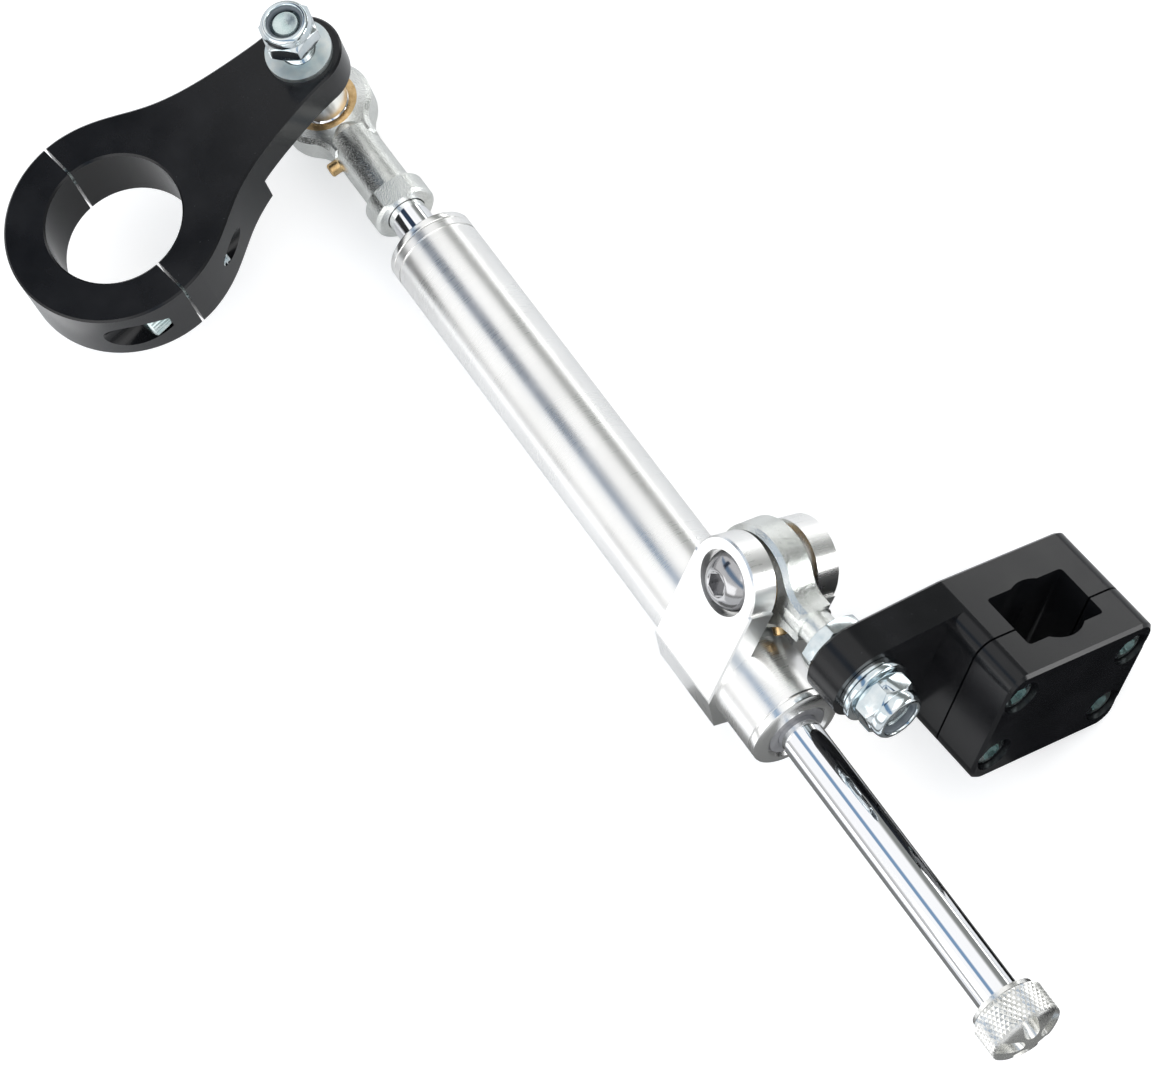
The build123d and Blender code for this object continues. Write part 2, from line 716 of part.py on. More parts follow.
with BuildPart() as lower_housing:
    rod_end_head(lower_head_plane, male_neck_radius, male_web_reach)
    flat_faces = lower_housing.faces().filter_by(Axis(lower_ball_centre, lower_head_plane.z_dir))
    chamfer(flat_faces.edges(), head_chamfer)
    with BuildSketch(frame_side):
        with BuildLine():
            Polyline(
                (neck_cone_start, 0),
                (neck_cone_start, head_thickness / 2),
                (neck_cone_end, male_neck_radius),
                (male_neck_length, male_neck_radius),
                (male_neck_length, thread_radius),
                (male_stud_length - bolt_end_chamfer, thread_radius),
                (male_stud_length, thread_radius - bolt_end_chamfer),
                (male_stud_length, 0),
                close=True,
            )
        make_face()
    revolve(axis=Axis(lower_ball_centre, frame_plane.z_dir))
    cylinder_on(lower_head_plane, -head_thickness, head_thickness * 2, race_radius, Mode.SUBTRACT)
    lower_nipple_direction = turned(lower_head_plane, 0, 0, lower_nipple_angle).x_dir
    lower_nipple_plane = Plane(
        origin=lower_ball_centre, x_dir=lower_head_plane.z_dir, z_dir=lower_nipple_direction
    )
    cylinder_on(
        lower_nipple_plane, lower_nipple_start, nipple_hole_depth, nipple_radius, Mode.SUBTRACT
    )
lower_housing.part.label = "lower_housing"

with BuildPart() as lower_nipple:
    lower_nipple_length = nipple_hole_depth + nipple_stand_out
    cylinder_on(lower_nipple_plane, lower_nipple_start, lower_nipple_length, nipple_radius)
    lower_tip = lower_nipple.faces().sort_by(Axis(lower_ball_centre, lower_nipple_direction))[-1]
    chamfer(lower_tip.edges(), nipple_tip_chamfer)
lower_nipple.part.label = "lower_nipple"

with BuildPart() as jam_nut:
    hex_prism(frame_plane, frame_back - jam_nut_height, jam_nut_height, nut_across_flats)
    cylinder_on(
        frame_plane, frame_back - jam_nut_height, jam_nut_height, thread_radius, Mode.SUBTRACT
    )
jam_nut.part.label = "jam_nut"

stud_washer_start = frame_back + frame_arm_thickness
with BuildPart() as stud_washers:
    add(washer(frame_plane, stud_washer_start))
    add(washer(frame_plane, stud_washer_start + washer_thickness))
stud_washers.part.label = "stud_washers"

stud_nut_start = stud_washer_start + washer_thickness * 2
stud_locknut = locknut(frame_plane, stud_nut_start)
stud_locknut.label = "stud_locknut"
stud_nut_insert = nylon_insert(frame_plane, stud_nut_start)
stud_nut_insert.label = "stud_nut_insert"

# Frame clamp: block with a flared arm, and the front cap that closes it
frame_front = frame_back + frame_block_depth
split_start = frame_front - frame_split_depth
block_left = frame_block_across - frame_block_width / 2
opening_middle = frame_front - frame_front_wall - opening_depth / 2
opening_plane = Plane(
    origin=frame_plane.from_local_coords((frame_block_across, frame_block_up, opening_middle)),
    x_dir=frame_plane.x_dir,
    z_dir=frame_plane.y_dir,
)


def cut_opening():
    with BuildSketch(opening_plane, mode=Mode.PRIVATE) as opening:
        RectangleRounded(opening_width, opening_depth, opening_corner_radius)
        with Locations((0, -opening_bore_offset)):
            Circle(opening_bore_radius)
    extrude(opening.sketch, amount=frame_block_height, both=True, mode=Mode.SUBTRACT)


def frame_screw_spots(start):
    spots = frame_plane.offset(start)
    centre = spots.from_local_coords((frame_block_across, frame_block_up, 0))
    return Plane(origin=centre, x_dir=frame_plane.x_dir, z_dir=frame_plane.z_dir)


def tangent_point(corner, side):
    # where the line from a corner of the block touches the arm's round end
    away = (corner[0] ** 2 + corner[1] ** 2) ** 0.5
    angle = atan2(corner[1], corner[0]) + side * acos(frame_arm_radius / away)
    return (frame_arm_radius * cos(angle), frame_arm_radius * sin(angle))


with BuildPart() as frame_block:
    root_reach = block_left + frame_corner_radius
    arm_top = (root_reach, frame_block_up + frame_block_height / 2)
    arm_bottom = (root_reach, frame_block_up - frame_block_height / 2)
    with BuildSketch(frame_plane.offset(frame_back)):
        Circle(frame_arm_radius)
        with BuildLine():
            Polyline(
                tangent_point(arm_top, 1),
                arm_top,
                arm_bottom,
                tangent_point(arm_bottom, -1),
                close=True,
            )
        make_face()
    extrude(amount=frame_arm_thickness)
    with BuildSketch(frame_plane.offset(frame_back)):
        with Locations((frame_block_across, frame_block_up)):
            RectangleRounded(frame_block_width, frame_block_height, frame_corner_radius)
    extrude(amount=split_start - frame_split_gap - frame_back)
    back_face = frame_block.faces().sort_by(Axis(frame_plane.origin, frame_plane.z_dir))[0]
    chamfer(back_face.edges(), frame_edge_chamfer)
    cut_opening()
    cylinder_on(frame_plane, frame_back, frame_arm_thickness, thread_radius, Mode.SUBTRACT)
    with BuildSketch(frame_screw_spots(frame_front - frame_counterbore_depth)):
        with GridLocations(frame_screw_spacing_across, frame_screw_spacing_up, 2, 2):
            Circle(frame_screw_radius)
    extrude(amount=-frame_screw_length, mode=Mode.SUBTRACT)
frame_block.part.label = "frame_block"

with BuildPart() as frame_cap:
    with BuildSketch(frame_plane.offset(split_start)):
        with Locations((frame_block_across, frame_block_up)):
            RectangleRounded(frame_block_width, frame_block_height, frame_corner_radius)
    extrude(amount=frame_split_depth)
    front_face = frame_cap.faces().sort_by(Axis(frame_plane.origin, frame_plane.z_dir))[-1]
    chamfer(front_face.edges(), frame_edge_chamfer)
    cut_opening()
    with BuildSketch(frame_screw_spots(split_start)):
        with GridLocations(frame_screw_spacing_across, frame_screw_spacing_up, 2, 2):
            Circle(frame_screw_radius + clearance_hole_gap)
    extrude(amount=frame_split_depth, mode=Mode.SUBTRACT)
    with BuildSketch(frame_screw_spots(frame_front - frame_counterbore_depth)):
        with GridLocations(frame_screw_spacing_across, frame_screw_spacing_up, 2, 2):
            Circle(frame_counterbore_radius)
    extrude(amount=frame_counterbore_depth, mode=Mode.SUBTRACT)
frame_cap.part.label = "frame_cap"

with BuildPart() as frame_screws:
    frame_seat = frame_front - frame_counterbore_depth
    with BuildSketch(frame_screw_spots(frame_seat)):
        with GridLocations(frame_screw_spacing_across, frame_screw_spacing_up, 2, 2):
            Circle(frame_screw_radius)
    extrude(amount=-frame_screw_length)
    with BuildSketch(frame_screw_spots(frame_seat)):
        with GridLocations(frame_screw_spacing_across, frame_screw_spacing_up, 2, 2):
            Circle(frame_screw_head_radius)
    extrude(amount=frame_screw_head_height)
    with BuildSketch(frame_screw_spots(frame_seat + frame_screw_head_height)):
        with GridLocations(frame_screw_spacing_across, frame_screw_spacing_up, 2, 2):
            RegularPolygon(frame_screw_socket_radius, 6)
    extrude(amount=-frame_screw_socket_depth, mode=Mode.SUBTRACT)
frame_screws.part.label = "frame_screws"

# Export, one file for each sub-part
pieces = [
    fork_arm.part,
    fork_cap.part,
    fork_screws.part,
    fork_bolt.part,
    spacer.part,
    fork_washer,
    fork_locknut,
    fork_nut_insert,
    upper_ball,
    upper_race,
    upper_housing.part,
    upper_nipple.part,
    piston_rod.part,
    piston.part,
    piston_band.part,
    knob.part,
    adjuster_needle.part,
    tube.part,
    upper_cap,
    lower_cap,
    rod_seals.part,
    rod_bushes.part,
    body_clamp.part,
    pivot_screw.part,
    lower_ball,
    lower_race,
    lower_housing.part,
    lower_nipple.part,
    jam_nut.part,
    stud_washers.part,
    stud_locknut,
    stud_nut_insert,
    frame_block.part,
    frame_cap.part,
    frame_screws.part,
]
os.makedirs("parts", exist_ok=True)
for piece in pieces:
    export_step(piece, f"parts/{piece.label}.step")
    print(piece.label, round(piece.volume), piece.is_valid, len(piece.solids()))
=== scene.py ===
import json
from math import acos, asin, cos, pi, radians, sin, tan

import bpy
from mathutils import Matrix, Vector

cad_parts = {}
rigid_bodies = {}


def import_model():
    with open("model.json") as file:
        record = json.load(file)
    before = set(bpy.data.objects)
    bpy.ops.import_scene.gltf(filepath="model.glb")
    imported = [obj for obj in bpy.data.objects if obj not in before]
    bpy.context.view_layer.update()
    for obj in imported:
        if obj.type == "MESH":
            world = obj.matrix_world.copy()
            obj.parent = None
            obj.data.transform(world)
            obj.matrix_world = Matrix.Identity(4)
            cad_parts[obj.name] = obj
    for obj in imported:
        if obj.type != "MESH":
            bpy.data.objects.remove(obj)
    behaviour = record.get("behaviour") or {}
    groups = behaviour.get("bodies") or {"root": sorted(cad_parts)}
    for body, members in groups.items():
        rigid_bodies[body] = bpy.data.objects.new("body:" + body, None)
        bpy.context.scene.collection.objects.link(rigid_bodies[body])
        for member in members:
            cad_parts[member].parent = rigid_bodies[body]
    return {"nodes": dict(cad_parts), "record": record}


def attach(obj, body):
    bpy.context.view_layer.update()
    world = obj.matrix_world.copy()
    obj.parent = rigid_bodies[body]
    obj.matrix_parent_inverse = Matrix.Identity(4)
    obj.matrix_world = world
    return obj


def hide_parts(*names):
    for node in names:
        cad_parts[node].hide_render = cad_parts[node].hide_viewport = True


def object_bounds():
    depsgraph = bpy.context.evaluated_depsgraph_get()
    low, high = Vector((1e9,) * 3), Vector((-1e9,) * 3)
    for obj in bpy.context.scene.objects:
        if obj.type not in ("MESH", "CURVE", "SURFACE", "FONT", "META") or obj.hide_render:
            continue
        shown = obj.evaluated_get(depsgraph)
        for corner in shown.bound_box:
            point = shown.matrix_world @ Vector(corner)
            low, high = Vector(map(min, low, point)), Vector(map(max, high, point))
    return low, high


bpy.ops.object.select_all(action="SELECT")  # the start-up cube, lamp and camera
bpy.ops.object.delete()
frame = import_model()
bpy.ops.object.select_all(action="DESELECT")
nodes = frame["nodes"]
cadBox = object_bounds()
mm = 0.001
weldGap = 0.00001
near = 0.01  # mm, for picking vertices and edges by place
print("frame loaded:", len(nodes), "nodes")


# Small helpers for modelling by hand

def pickOnly(piece):
    bpy.ops.object.select_all(action="DESELECT")
    piece.select_set(True)
    bpy.context.view_layer.objects.active = piece


def selectVerts(piece, test):
    # leaves the piece in edit mode with the vertices that pass the test selected
    pickOnly(piece)
    bpy.ops.object.mode_set(mode="EDIT")
    bpy.ops.mesh.select_mode(type="VERT")
    bpy.ops.mesh.select_all(action="DESELECT")
    bpy.ops.object.mode_set(mode="OBJECT")
    for vertex in piece.data.vertices:
        vertex.select = test(vertex.co)
    bpy.ops.object.mode_set(mode="EDIT")


def useModifier(piece, kind, **settings):
    pickOnly(piece)
    modifier = piece.modifiers.new(kind.title(), kind)
    for setting, value in settings.items():
        setattr(modifier, setting, value)
    bpy.ops.object.modifier_apply(modifier=modifier.name)


def cutWith(piece, tool, operation="DIFFERENCE"):
    useModifier(piece, "BOOLEAN", object=tool, operation=operation, solver="EXACT")
    bpy.data.objects.remove(tool)


def turned(name, profile, sides=72, ring=False):
    # profile is (radius, height) in mm, followed from loop to loop by extruding a circle
    radius, height = profile[0]
    bpy.ops.mesh.primitive_circle_add(vertices=sides, radius=radius * mm, location=(0, 0, 0))
    piece = bpy.context.object
    piece.name = name
    bpy.ops.object.mode_set(mode="EDIT")
    bpy.ops.mesh.select_all(action="SELECT")
    bpy.ops.transform.translate(value=(0, 0, height * mm))
    for nextRadius, nextHeight in profile[1:]:
        bpy.ops.mesh.extrude_edges_move(
            TRANSFORM_OT_translate={"value": (0, 0, (nextHeight - height) * mm)}
        )
        grow = nextRadius / radius
        bpy.ops.transform.resize(value=(grow, grow, 1), center_override=(0, 0, nextHeight * mm))
        radius, height = nextRadius, nextHeight
    bpy.ops.mesh.select_all(action="SELECT")
    bpy.ops.mesh.remove_doubles(threshold=weldGap)
    if not ring:
        bpy.ops.mesh.select_all(action="SELECT")
        bpy.ops.mesh.fill_holes(sides=0)
        bpy.ops.mesh.select_all(action="SELECT")
    bpy.ops.mesh.normals_make_consistent(inside=False)
    bpy.ops.object.mode_set(mode="OBJECT")
    return piece


def smoothUnder(piece, degrees):
    pickOnly(piece)
    bpy.ops.object.shade_smooth_by_angle(angle=radians(degrees))


def putAt(piece, place):
    pickOnly(piece)
    piece.matrix_world = place
    bpy.ops.object.transform_apply(location=True, rotation=True, scale=True)


def flatAxis(node, toward):
    # the direction that most of a turned node's flat area faces, on the side of toward
    areas = {}
    for face in nodes[node].data.polygons:
        key = tuple(round(part, 3) for part in face.normal)
        areas[key] = areas.get(key, 0) + face.area
    axis = Vector(max(areas, key=areas.get)).normalized()
    return axis if axis.dot(Vector(toward)) > 0 else -axis


def turnTo(axis, side=None):
    # the rotation that takes Z to the axis and X to the side
    if side is None:
        side = axis.orthogonal().normalized()
    return Matrix((side, axis.cross(side), axis)).transposed().to_4x4()


def seatOf(node, toward):
    # a place on the node's own axis: Z along it, X to its farthest corner, origin at its low end
    axis = flatAxis(node, toward)
    points = [vertex.co for vertex in nodes[node].data.vertices]
    side = axis.orthogonal().normalized()
    up = axis.cross(side)
    middle = Vector((0, 0, 0))
    for way in (side, up):
        reach = [point.dot(way) for point in points]
        middle += way * (max(reach) + min(reach)) / 2
    low = min(point.dot(axis) for point in points)
    origin = middle + axis * low
    spread = [(point - origin) - axis * (point - origin).dot(axis) for point in points]
    corner = max(spread, key=lambda away: away.length).normalized()
    return Matrix.Translation(origin) @ turnTo(axis, corner)


def finish(piece, body, material, slot, *stands):
    piece.data.materials.clear()
    piece.data.materials.append(material)
    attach(piece, body)
    if stands:
        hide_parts(*stands)


# Shader groups for surface detail, which give heights and masks to the finishes

def newGroup(name, inputs, outputs):
    group = bpy.data.node_groups.new(name, "ShaderNodeTree")
    for socket, kind, value in inputs:
        made = group.interface.new_socket(socket, in_out="INPUT", socket_type=kind)
        if value is not None:
            made.default_value = value
    for socket, kind in outputs:
        group.interface.new_socket(socket, in_out="OUTPUT", socket_type=kind)
    start = group.nodes.new("NodeGroupInput")
    end = group.nodes.new("NodeGroupOutput")
    return group, start, end


def mathNode(tree, operation, first, second, clamp=False):
    node = tree.nodes.new("ShaderNodeMath")
    node.operation = operation
    node.use_clamp = clamp
    for index, value in enumerate((first, second)):
        if isinstance(value, bpy.types.NodeSocket):
            tree.links.new(value, node.inputs[index])
        else:
            node.inputs[index].default_value = value
    return node.outputs[0]


def noiseNode(tree, vector, scale, detail=3, roughness=0.5):
    node = tree.nodes.new("ShaderNodeTexNoise")
    node.inputs["Detail"].default_value = detail
    node.inputs["Roughness"].default_value = roughness
    tree.links.new(vector, node.inputs["Vector"])
    if isinstance(scale, bpy.types.NodeSocket):
        tree.links.new(scale, node.inputs["Scale"])
    else:
        node.inputs["Scale"].default_value = scale
    return node.outputs["Fac"]


def rangeNode(tree, value, low, high, newLow=0.0, newHigh=1.0):
    node = tree.nodes.new("ShaderNodeMapRange")
    tree.links.new(value, node.inputs["Value"])
    numbers = {"From Min": low, "From Max": high, "To Min": newLow, "To Max": newHigh}
    for socket, number in numbers.items():
        node.inputs[socket].default_value = number
    return node.outputs["Result"]


def makeForgedGrain():
    # pebbled skin of a forging under zinc: hills of two sizes and brighter crowns
    group, start, end = newGroup(
        "forgedGrain",
        [("Vector", "NodeSocketVector", None), ("Scale", "NodeSocketFloat", 1800.0)],
        [("Height", "NodeSocketFloat"), ("Mask", "NodeSocketFloat")],
    )
    vector, scale = start.outputs["Vector"], start.outputs["Scale"]
    cells = group.nodes.new("ShaderNodeTexVoronoi")
    cells.feature = "SMOOTH_F1"
    group.links.new(vector, cells.inputs["Vector"])
    group.links.new(scale, cells.inputs["Scale"])
    fine = noiseNode(group, vector, mathNode(group, "MULTIPLY", scale, 2.3), 2)
    broad = noiseNode(group, vector, mathNode(group, "MULTIPLY", scale, 0.3), 3)
    hills = mathNode(group, "ADD", cells.outputs["Distance"], mathNode(group, "MULTIPLY", fine, 0.6))
    height = mathNode(group, "ADD", hills, mathNode(group, "MULTIPLY", broad, 0.4))
    group.links.new(height, end.inputs["Height"])
    group.links.new(rangeNode(group, height, 0.5, 1.5), end.inputs["Mask"])
    return group


def makeLatheLines():
    # fine rings left by a turning tool, read along the piece's own axis (Z of the mapped vector)
    group, start, end = newGroup(
        "latheLines",
        [("Vector", "NodeSocketVector", None), ("Scale", "NodeSocketFloat", 3000.0)],
        [("Height", "NodeSocketFloat"), ("Mask", "NodeSocketFloat")],
    )
    squeeze = group.nodes.new("ShaderNodeMapping")
    squeeze.inputs["Scale"].default_value = (0.02, 0.02, 1)
    group.links.new(start.outputs["Vector"], squeeze.inputs["Vector"])
    lines = noiseNode(group, squeeze.outputs["Vector"], start.outputs["Scale"], 4, 0.7)
    patches = noiseNode(group, start.outputs["Vector"], scale=60, detail=2)
    group.links.new(lines, end.inputs["Height"])
    group.links.new(mathNode(group, "MULTIPLY", lines, patches), end.inputs["Mask"])
    return group


def makeHairScratches():
    # short straight hairlines in three directions
    group, start, end = newGroup(
        "hairScratches",
        [("Vector", "NodeSocketVector", None), ("Scale", "NodeSocketFloat", 5000.0),
         ("Rarity", "NodeSocketFloat", 0.76)],
        [("Mask", "NodeSocketFloat")],
    )
    total = None
    for angle in (0.4, 1.7, 2.6):
        turn = group.nodes.new("ShaderNodeMapping")
        turn.inputs["Rotation"].default_value = (angle * 0.7, angle, angle * 1.3)
        turn.inputs["Scale"].default_value = (1, 0.05, 1)
        group.links.new(start.outputs["Vector"], turn.inputs["Vector"])
        streak = noiseNode(group, turn.outputs["Vector"], start.outputs["Scale"], 0)
        line = mathNode(group, "GREATER_THAN", streak, start.outputs["Rarity"])
        total = line if total is None else mathNode(group, "MAXIMUM", total, line)
    group.links.new(total, end.inputs["Mask"])
    return group


def makeDustSpecks():
    # small round spots, only where a broad noise lets them through
    group, start, end = newGroup(
        "dustSpecks",
        [("Vector", "NodeSocketVector", None), ("Scale", "NodeSocketFloat", 420.0),
         ("Size", "NodeSocketFloat", 0.1)],
        [("Mask", "NodeSocketFloat")],
    )
    dots = group.nodes.new("ShaderNodeTexVoronoi")
    group.links.new(start.outputs["Vector"], dots.inputs["Vector"])
    group.links.new(start.outputs["Scale"], dots.inputs["Scale"])
    spot = mathNode(group, "LESS_THAN", dots.outputs["Distance"], start.outputs["Size"])
    cloud = noiseNode(group, start.outputs["Vector"], scale=150, detail=2)
    gate = mathNode(group, "GREATER_THAN", cloud, 0.56)
    group.links.new(mathNode(group, "MULTIPLY", spot, gate), end.inputs["Mask"])
    return group


groups = {
    "forgedGrain": makeForgedGrain(),
    "latheLines": makeLatheLines(),
    "hairScratches": makeHairScratches(),
    "dustSpecks": makeDustSpecks(),
}
print("shader groups ready")


# Finishes

def newFinish(name, color, roughness, metallic=1, **constants):
    material = bpy.data.materials.new(name)
    material.use_nodes = True
    tree = material.node_tree
    shader = tree.nodes["Principled BSDF"]
    shader.inputs["Base Color"].default_value = (*color, 1)
    shader.inputs["Metallic"].default_value = metallic
    shader.inputs["Roughness"].default_value = roughness
    for socket, value in constants.items():
        shader.inputs[socket.replace("_", " ")].default_value = value
    coordinates = tree.nodes.new("ShaderNodeTexCoord")
    return material, tree, shader, coordinates.outputs["Object"]


def useGroup(tree, name, vector, **values):
    node = tree.nodes.new("ShaderNodeGroup")
    node.node_tree = groups[name]
    tree.links.new(vector, node.inputs["Vector"])
    for socket, value in values.items():
        node.inputs[socket].default_value = value
    return node


def mixColor(tree, factor, first, second):
    node = tree.nodes.new("ShaderNodeMix")
    node.data_type = "RGBA"
    tree.links.new(factor, node.inputs[0])
    for socket, value in ((node.inputs[6], first), (node.inputs[7], second)):
        if isinstance(value, bpy.types.NodeSocket):
            tree.links.new(value, socket)
        else:
            socket.default_value = (*value, 1)
    return node.outputs[2]


def addBump(tree, shader, height, strength, distance):
    bump = tree.nodes.new("ShaderNodeBump")
    bump.inputs["Strength"].default_value = strength
    bump.inputs["Distance"].default_value = distance
    tree.links.new(height, bump.inputs["Height"])
    tree.links.new(bump.outputs["Normal"], shader.inputs["Normal"])


def tintBy(tree, shader, mask, span, colors):
    tint = mixColor(tree, rangeNode(tree, mask, *span), *colors)
    tree.links.new(tint, shader.inputs["Base Color"])


def roughenBy(tree, shader, mask, span, roughness):
    tree.links.new(rangeNode(tree, mask, *span, *roughness), shader.inputs["Roughness"])


def alongAxis(tree, vector, axis, origin):
    # turns the object's coordinates so that Z runs along a turned piece's axis
    turn = tree.nodes.new("ShaderNodeMapping")
    turn.vector_type = "TEXTURE"
    turn.inputs["Location"].default_value = origin
    turn.inputs["Rotation"].default_value = Vector(axis).to_track_quat("Z", "Y").to_euler()
    tree.links.new(vector, turn.inputs["Vector"])
    return turn.outputs["Vector"]


joints = {joint["name"]: joint for joint in frame["record"]["behaviour"]["joints"]}
damperAxis = Vector(joints["stroke"]["axis"])
damperOrigin = Vector(joints["cylinder_turn"]["pos_m"])


def blackAnodised():
    look = {
        "color": (0.006, 0.0064, 0.0074), "paler": (0.011, 0.0114, 0.013), "speck": (0.12, 0.125, 0.13),
    }
    material, tree, shader, place = newFinish(
        "black anodised", look["color"], roughness=0.2, metallic=0, Specular_IOR_Level=0.3
    )
    rings = tree.nodes.new("ShaderNodeTexWave")  # cutter paths round the fork bore
    rings.wave_type = "RINGS"
    rings.rings_direction = "Z"
    rings.inputs["Scale"].default_value = 190
    rings.inputs["Distortion"].default_value = 0.6
    rings.inputs["Detail"].default_value = 2
    tree.links.new(place, rings.inputs["Vector"])
    cloud = noiseNode(tree, place, scale=70, detail=4)
    grain = noiseNode(tree, place, scale=2600, detail=2)
    marks = useGroup(tree, "dustSpecks", place, Scale=420.0, Size=0.045).outputs["Mask"]
    body = mixColor(tree, rangeNode(tree, cloud, 0.35, 0.75), look["color"], look["paler"])
    faint = mathNode(tree, "MULTIPLY", marks, 0.5)
    tree.links.new(mixColor(tree, faint, body, look["speck"]), shader.inputs["Base Color"])
    roughenBy(tree, shader, cloud, span=(0.3, 0.7), roughness=(0.17, 0.23))
    relief = mathNode(tree, "ADD", mathNode(tree, "MULTIPLY", rings.outputs["Fac"], 0.4), grain)
    relief = mathNode(tree, "SUBTRACT", relief, marks)
    addBump(tree, shader, relief, strength=0.08, distance=0.02 * mm)
    return material


def turnedAluminium(name, smoothest, roughest):
    material, tree, shader, place = newFinish(name, (0.9, 0.9, 0.89), roughness=smoothest)
    turnedPlace = alongAxis(tree, place, damperAxis, damperOrigin)
    lines = useGroup(tree, "latheLines", turnedPlace, Scale=2600.0)
    cloud = noiseNode(tree, place, scale=45, detail=3)
    fine = noiseNode(tree, place, scale=3800, detail=2)
    tintBy(tree, shader, cloud, span=(0.3, 0.7), colors=((0.86, 0.86, 0.85), (0.93, 0.93, 0.92)))
    roughenBy(tree, shader, lines.outputs["Mask"], span=(0.1, 0.5), roughness=(smoothest, roughest))
    relief = mathNode(tree, "ADD", lines.outputs["Height"], fine)
    addBump(tree, shader, relief, strength=0.16, distance=0.01 * mm)
    return material


def polishedChrome():
    material, tree, shader, place = newFinish("polished chrome", (0.86, 0.87, 0.89), roughness=0.05)
    hairs = useGroup(tree, "hairScratches", place, Scale=6000.0, Rarity=0.8)
    cloud = noiseNode(tree, place, scale=120, detail=3)
    roughenBy(tree, shader, cloud, span=(0.3, 0.8), roughness=(0.03, 0.08))
    relief = mathNode(tree, "SUBTRACT", cloud, hairs.outputs["Mask"])
    addBump(tree, shader, relief, strength=0.05, distance=0.02 * mm)
    return material


def zincPlated(name, dull, bright, smoothest, roughest):
    material, tree, shader, place = newFinish(name, bright, roughness=smoothest)
    cloud = noiseNode(tree, place, scale=240, detail=4)
    fine = noiseNode(tree, place, scale=2200, detail=3)
    hairs = useGroup(tree, "hairScratches", place, Scale=4000.0, Rarity=0.74)
    tintBy(tree, shader, cloud, span=(0.35, 0.68), colors=(dull, bright))
    roughenBy(tree, shader, cloud, span=(0.3, 0.7), roughness=(smoothest, roughest))
    hills = mathNode(tree, "ADD", mathNode(tree, "MULTIPLY", fine, 0.3), cloud)
    relief = mathNode(tree, "SUBTRACT", hills, hairs.outputs["Mask"])
    addBump(tree, shader, relief, strength=0.12, distance=0.02 * mm)
    return material


def forgedZinc():
    material, tree, shader, place = newFinish("forged zinc", (0.64, 0.66, 0.64), roughness=0.36)
    grain = useGroup(tree, "forgedGrain", place, Scale=2700.0)
    stain = noiseNode(tree, place, scale=140, detail=4)
    base = mixColor(tree, rangeNode(tree, stain, 0.3, 0.7), (0.6, 0.62, 0.6), (0.78, 0.8, 0.78))
    crowns = mathNode(tree, "MULTIPLY", grain.outputs["Mask"], 0.5)
    tree.links.new(mixColor(tree, crowns, base, (0.9, 0.91, 0.89)), shader.inputs["Base Color"])
    roughenBy(tree, shader, grain.outputs["Height"], span=(0.4, 1.3), roughness=(0.32, 0.18))
    addBump(tree, shader, grain.outputs["Height"], strength=0.6, distance=0.1 * mm)
    return material


def polishedSteel():
    material, tree, shader, place = newFinish("polished steel", (0.42, 0.42, 0.43), roughness=0.14)
    fine = noiseNode(tree, place, scale=1600, detail=3)
    cloud = noiseNode(tree, place, scale=260, detail=2)
    roughenBy(tree, shader, cloud, span=(0.3, 0.7), roughness=(0.11, 0.18))
    addBump(tree, shader, fine, strength=0.06, distance=0.01 * mm)
    return material


def knurledAluminium():
    material, tree, shader, place = newFinish("knurled aluminium", (0.8, 0.8, 0.78), roughness=0.27)
    fine = noiseNode(tree, place, scale=2600, detail=3)
    cloud = noiseNode(tree, place, scale=300, detail=3)
    tintBy(tree, shader, cloud, span=(0.3, 0.7), colors=((0.72, 0.72, 0.7), (0.88, 0.88, 0.86)))
    roughenBy(tree, shader, fine, span=(0.3, 0.7), roughness=(0.22, 0.34))
    addBump(tree, shader, fine, strength=0.2, distance=0.02 * mm)
    return material


def brass():
    material, tree, shader, place = newFinish("brass", (0.62, 0.42, 0.2), roughness=0.3)
    cloud = noiseNode(tree, place, scale=330, detail=4)
    fine = noiseNode(tree, place, scale=2300, detail=2)
    tintBy(tree, shader, cloud, span=(0.35, 0.7), colors=((0.5, 0.33, 0.15), (0.74, 0.53, 0.28)))
    roughenBy(tree, shader, fine, span=(0.3, 0.7), roughness=(0.24, 0.38))
    addBump(tree, shader, fine, strength=0.2, distance=0.02 * mm)
    return material


def softPlastic(name, color, paler, roughness, grainScale):
    material, tree, shader, place = newFinish(name, color, roughness, metallic=0)
    cloud = noiseNode(tree, place, grainScale * 0.2, 3)
    fine = noiseNode(tree, place, grainScale, 2)
    tintBy(tree, shader, cloud, span=(0.3, 0.7), colors=(color, paler))
    roughenBy(tree, shader, fine, span=(0.3, 0.7), roughness=(roughness - 0.06, roughness + 0.06))
    addBump(tree, shader, fine, strength=0.15, distance=0.02 * mm)
    return material


def bronzeBush():
    material, tree, shader, place = newFinish("bronze bush", (0.45, 0.27, 0.14), roughness=0.42)
    pores = useGroup(tree, "dustSpecks", place, Scale=1400.0, Size=0.2)
    cloud = noiseNode(tree, place, scale=400, detail=3)
    tintBy(tree, shader, cloud, span=(0.3, 0.7), colors=((0.36, 0.2, 0.1), (0.52, 0.32, 0.17)))
    roughenBy(tree, shader, cloud, span=(0.3, 0.7), roughness=(0.36, 0.5))
    relief = mathNode(tree, "SUBTRACT", cloud, pores.outputs["Mask"])
    addBump(tree, shader, relief, strength=0.3, distance=0.03 * mm)
    return material


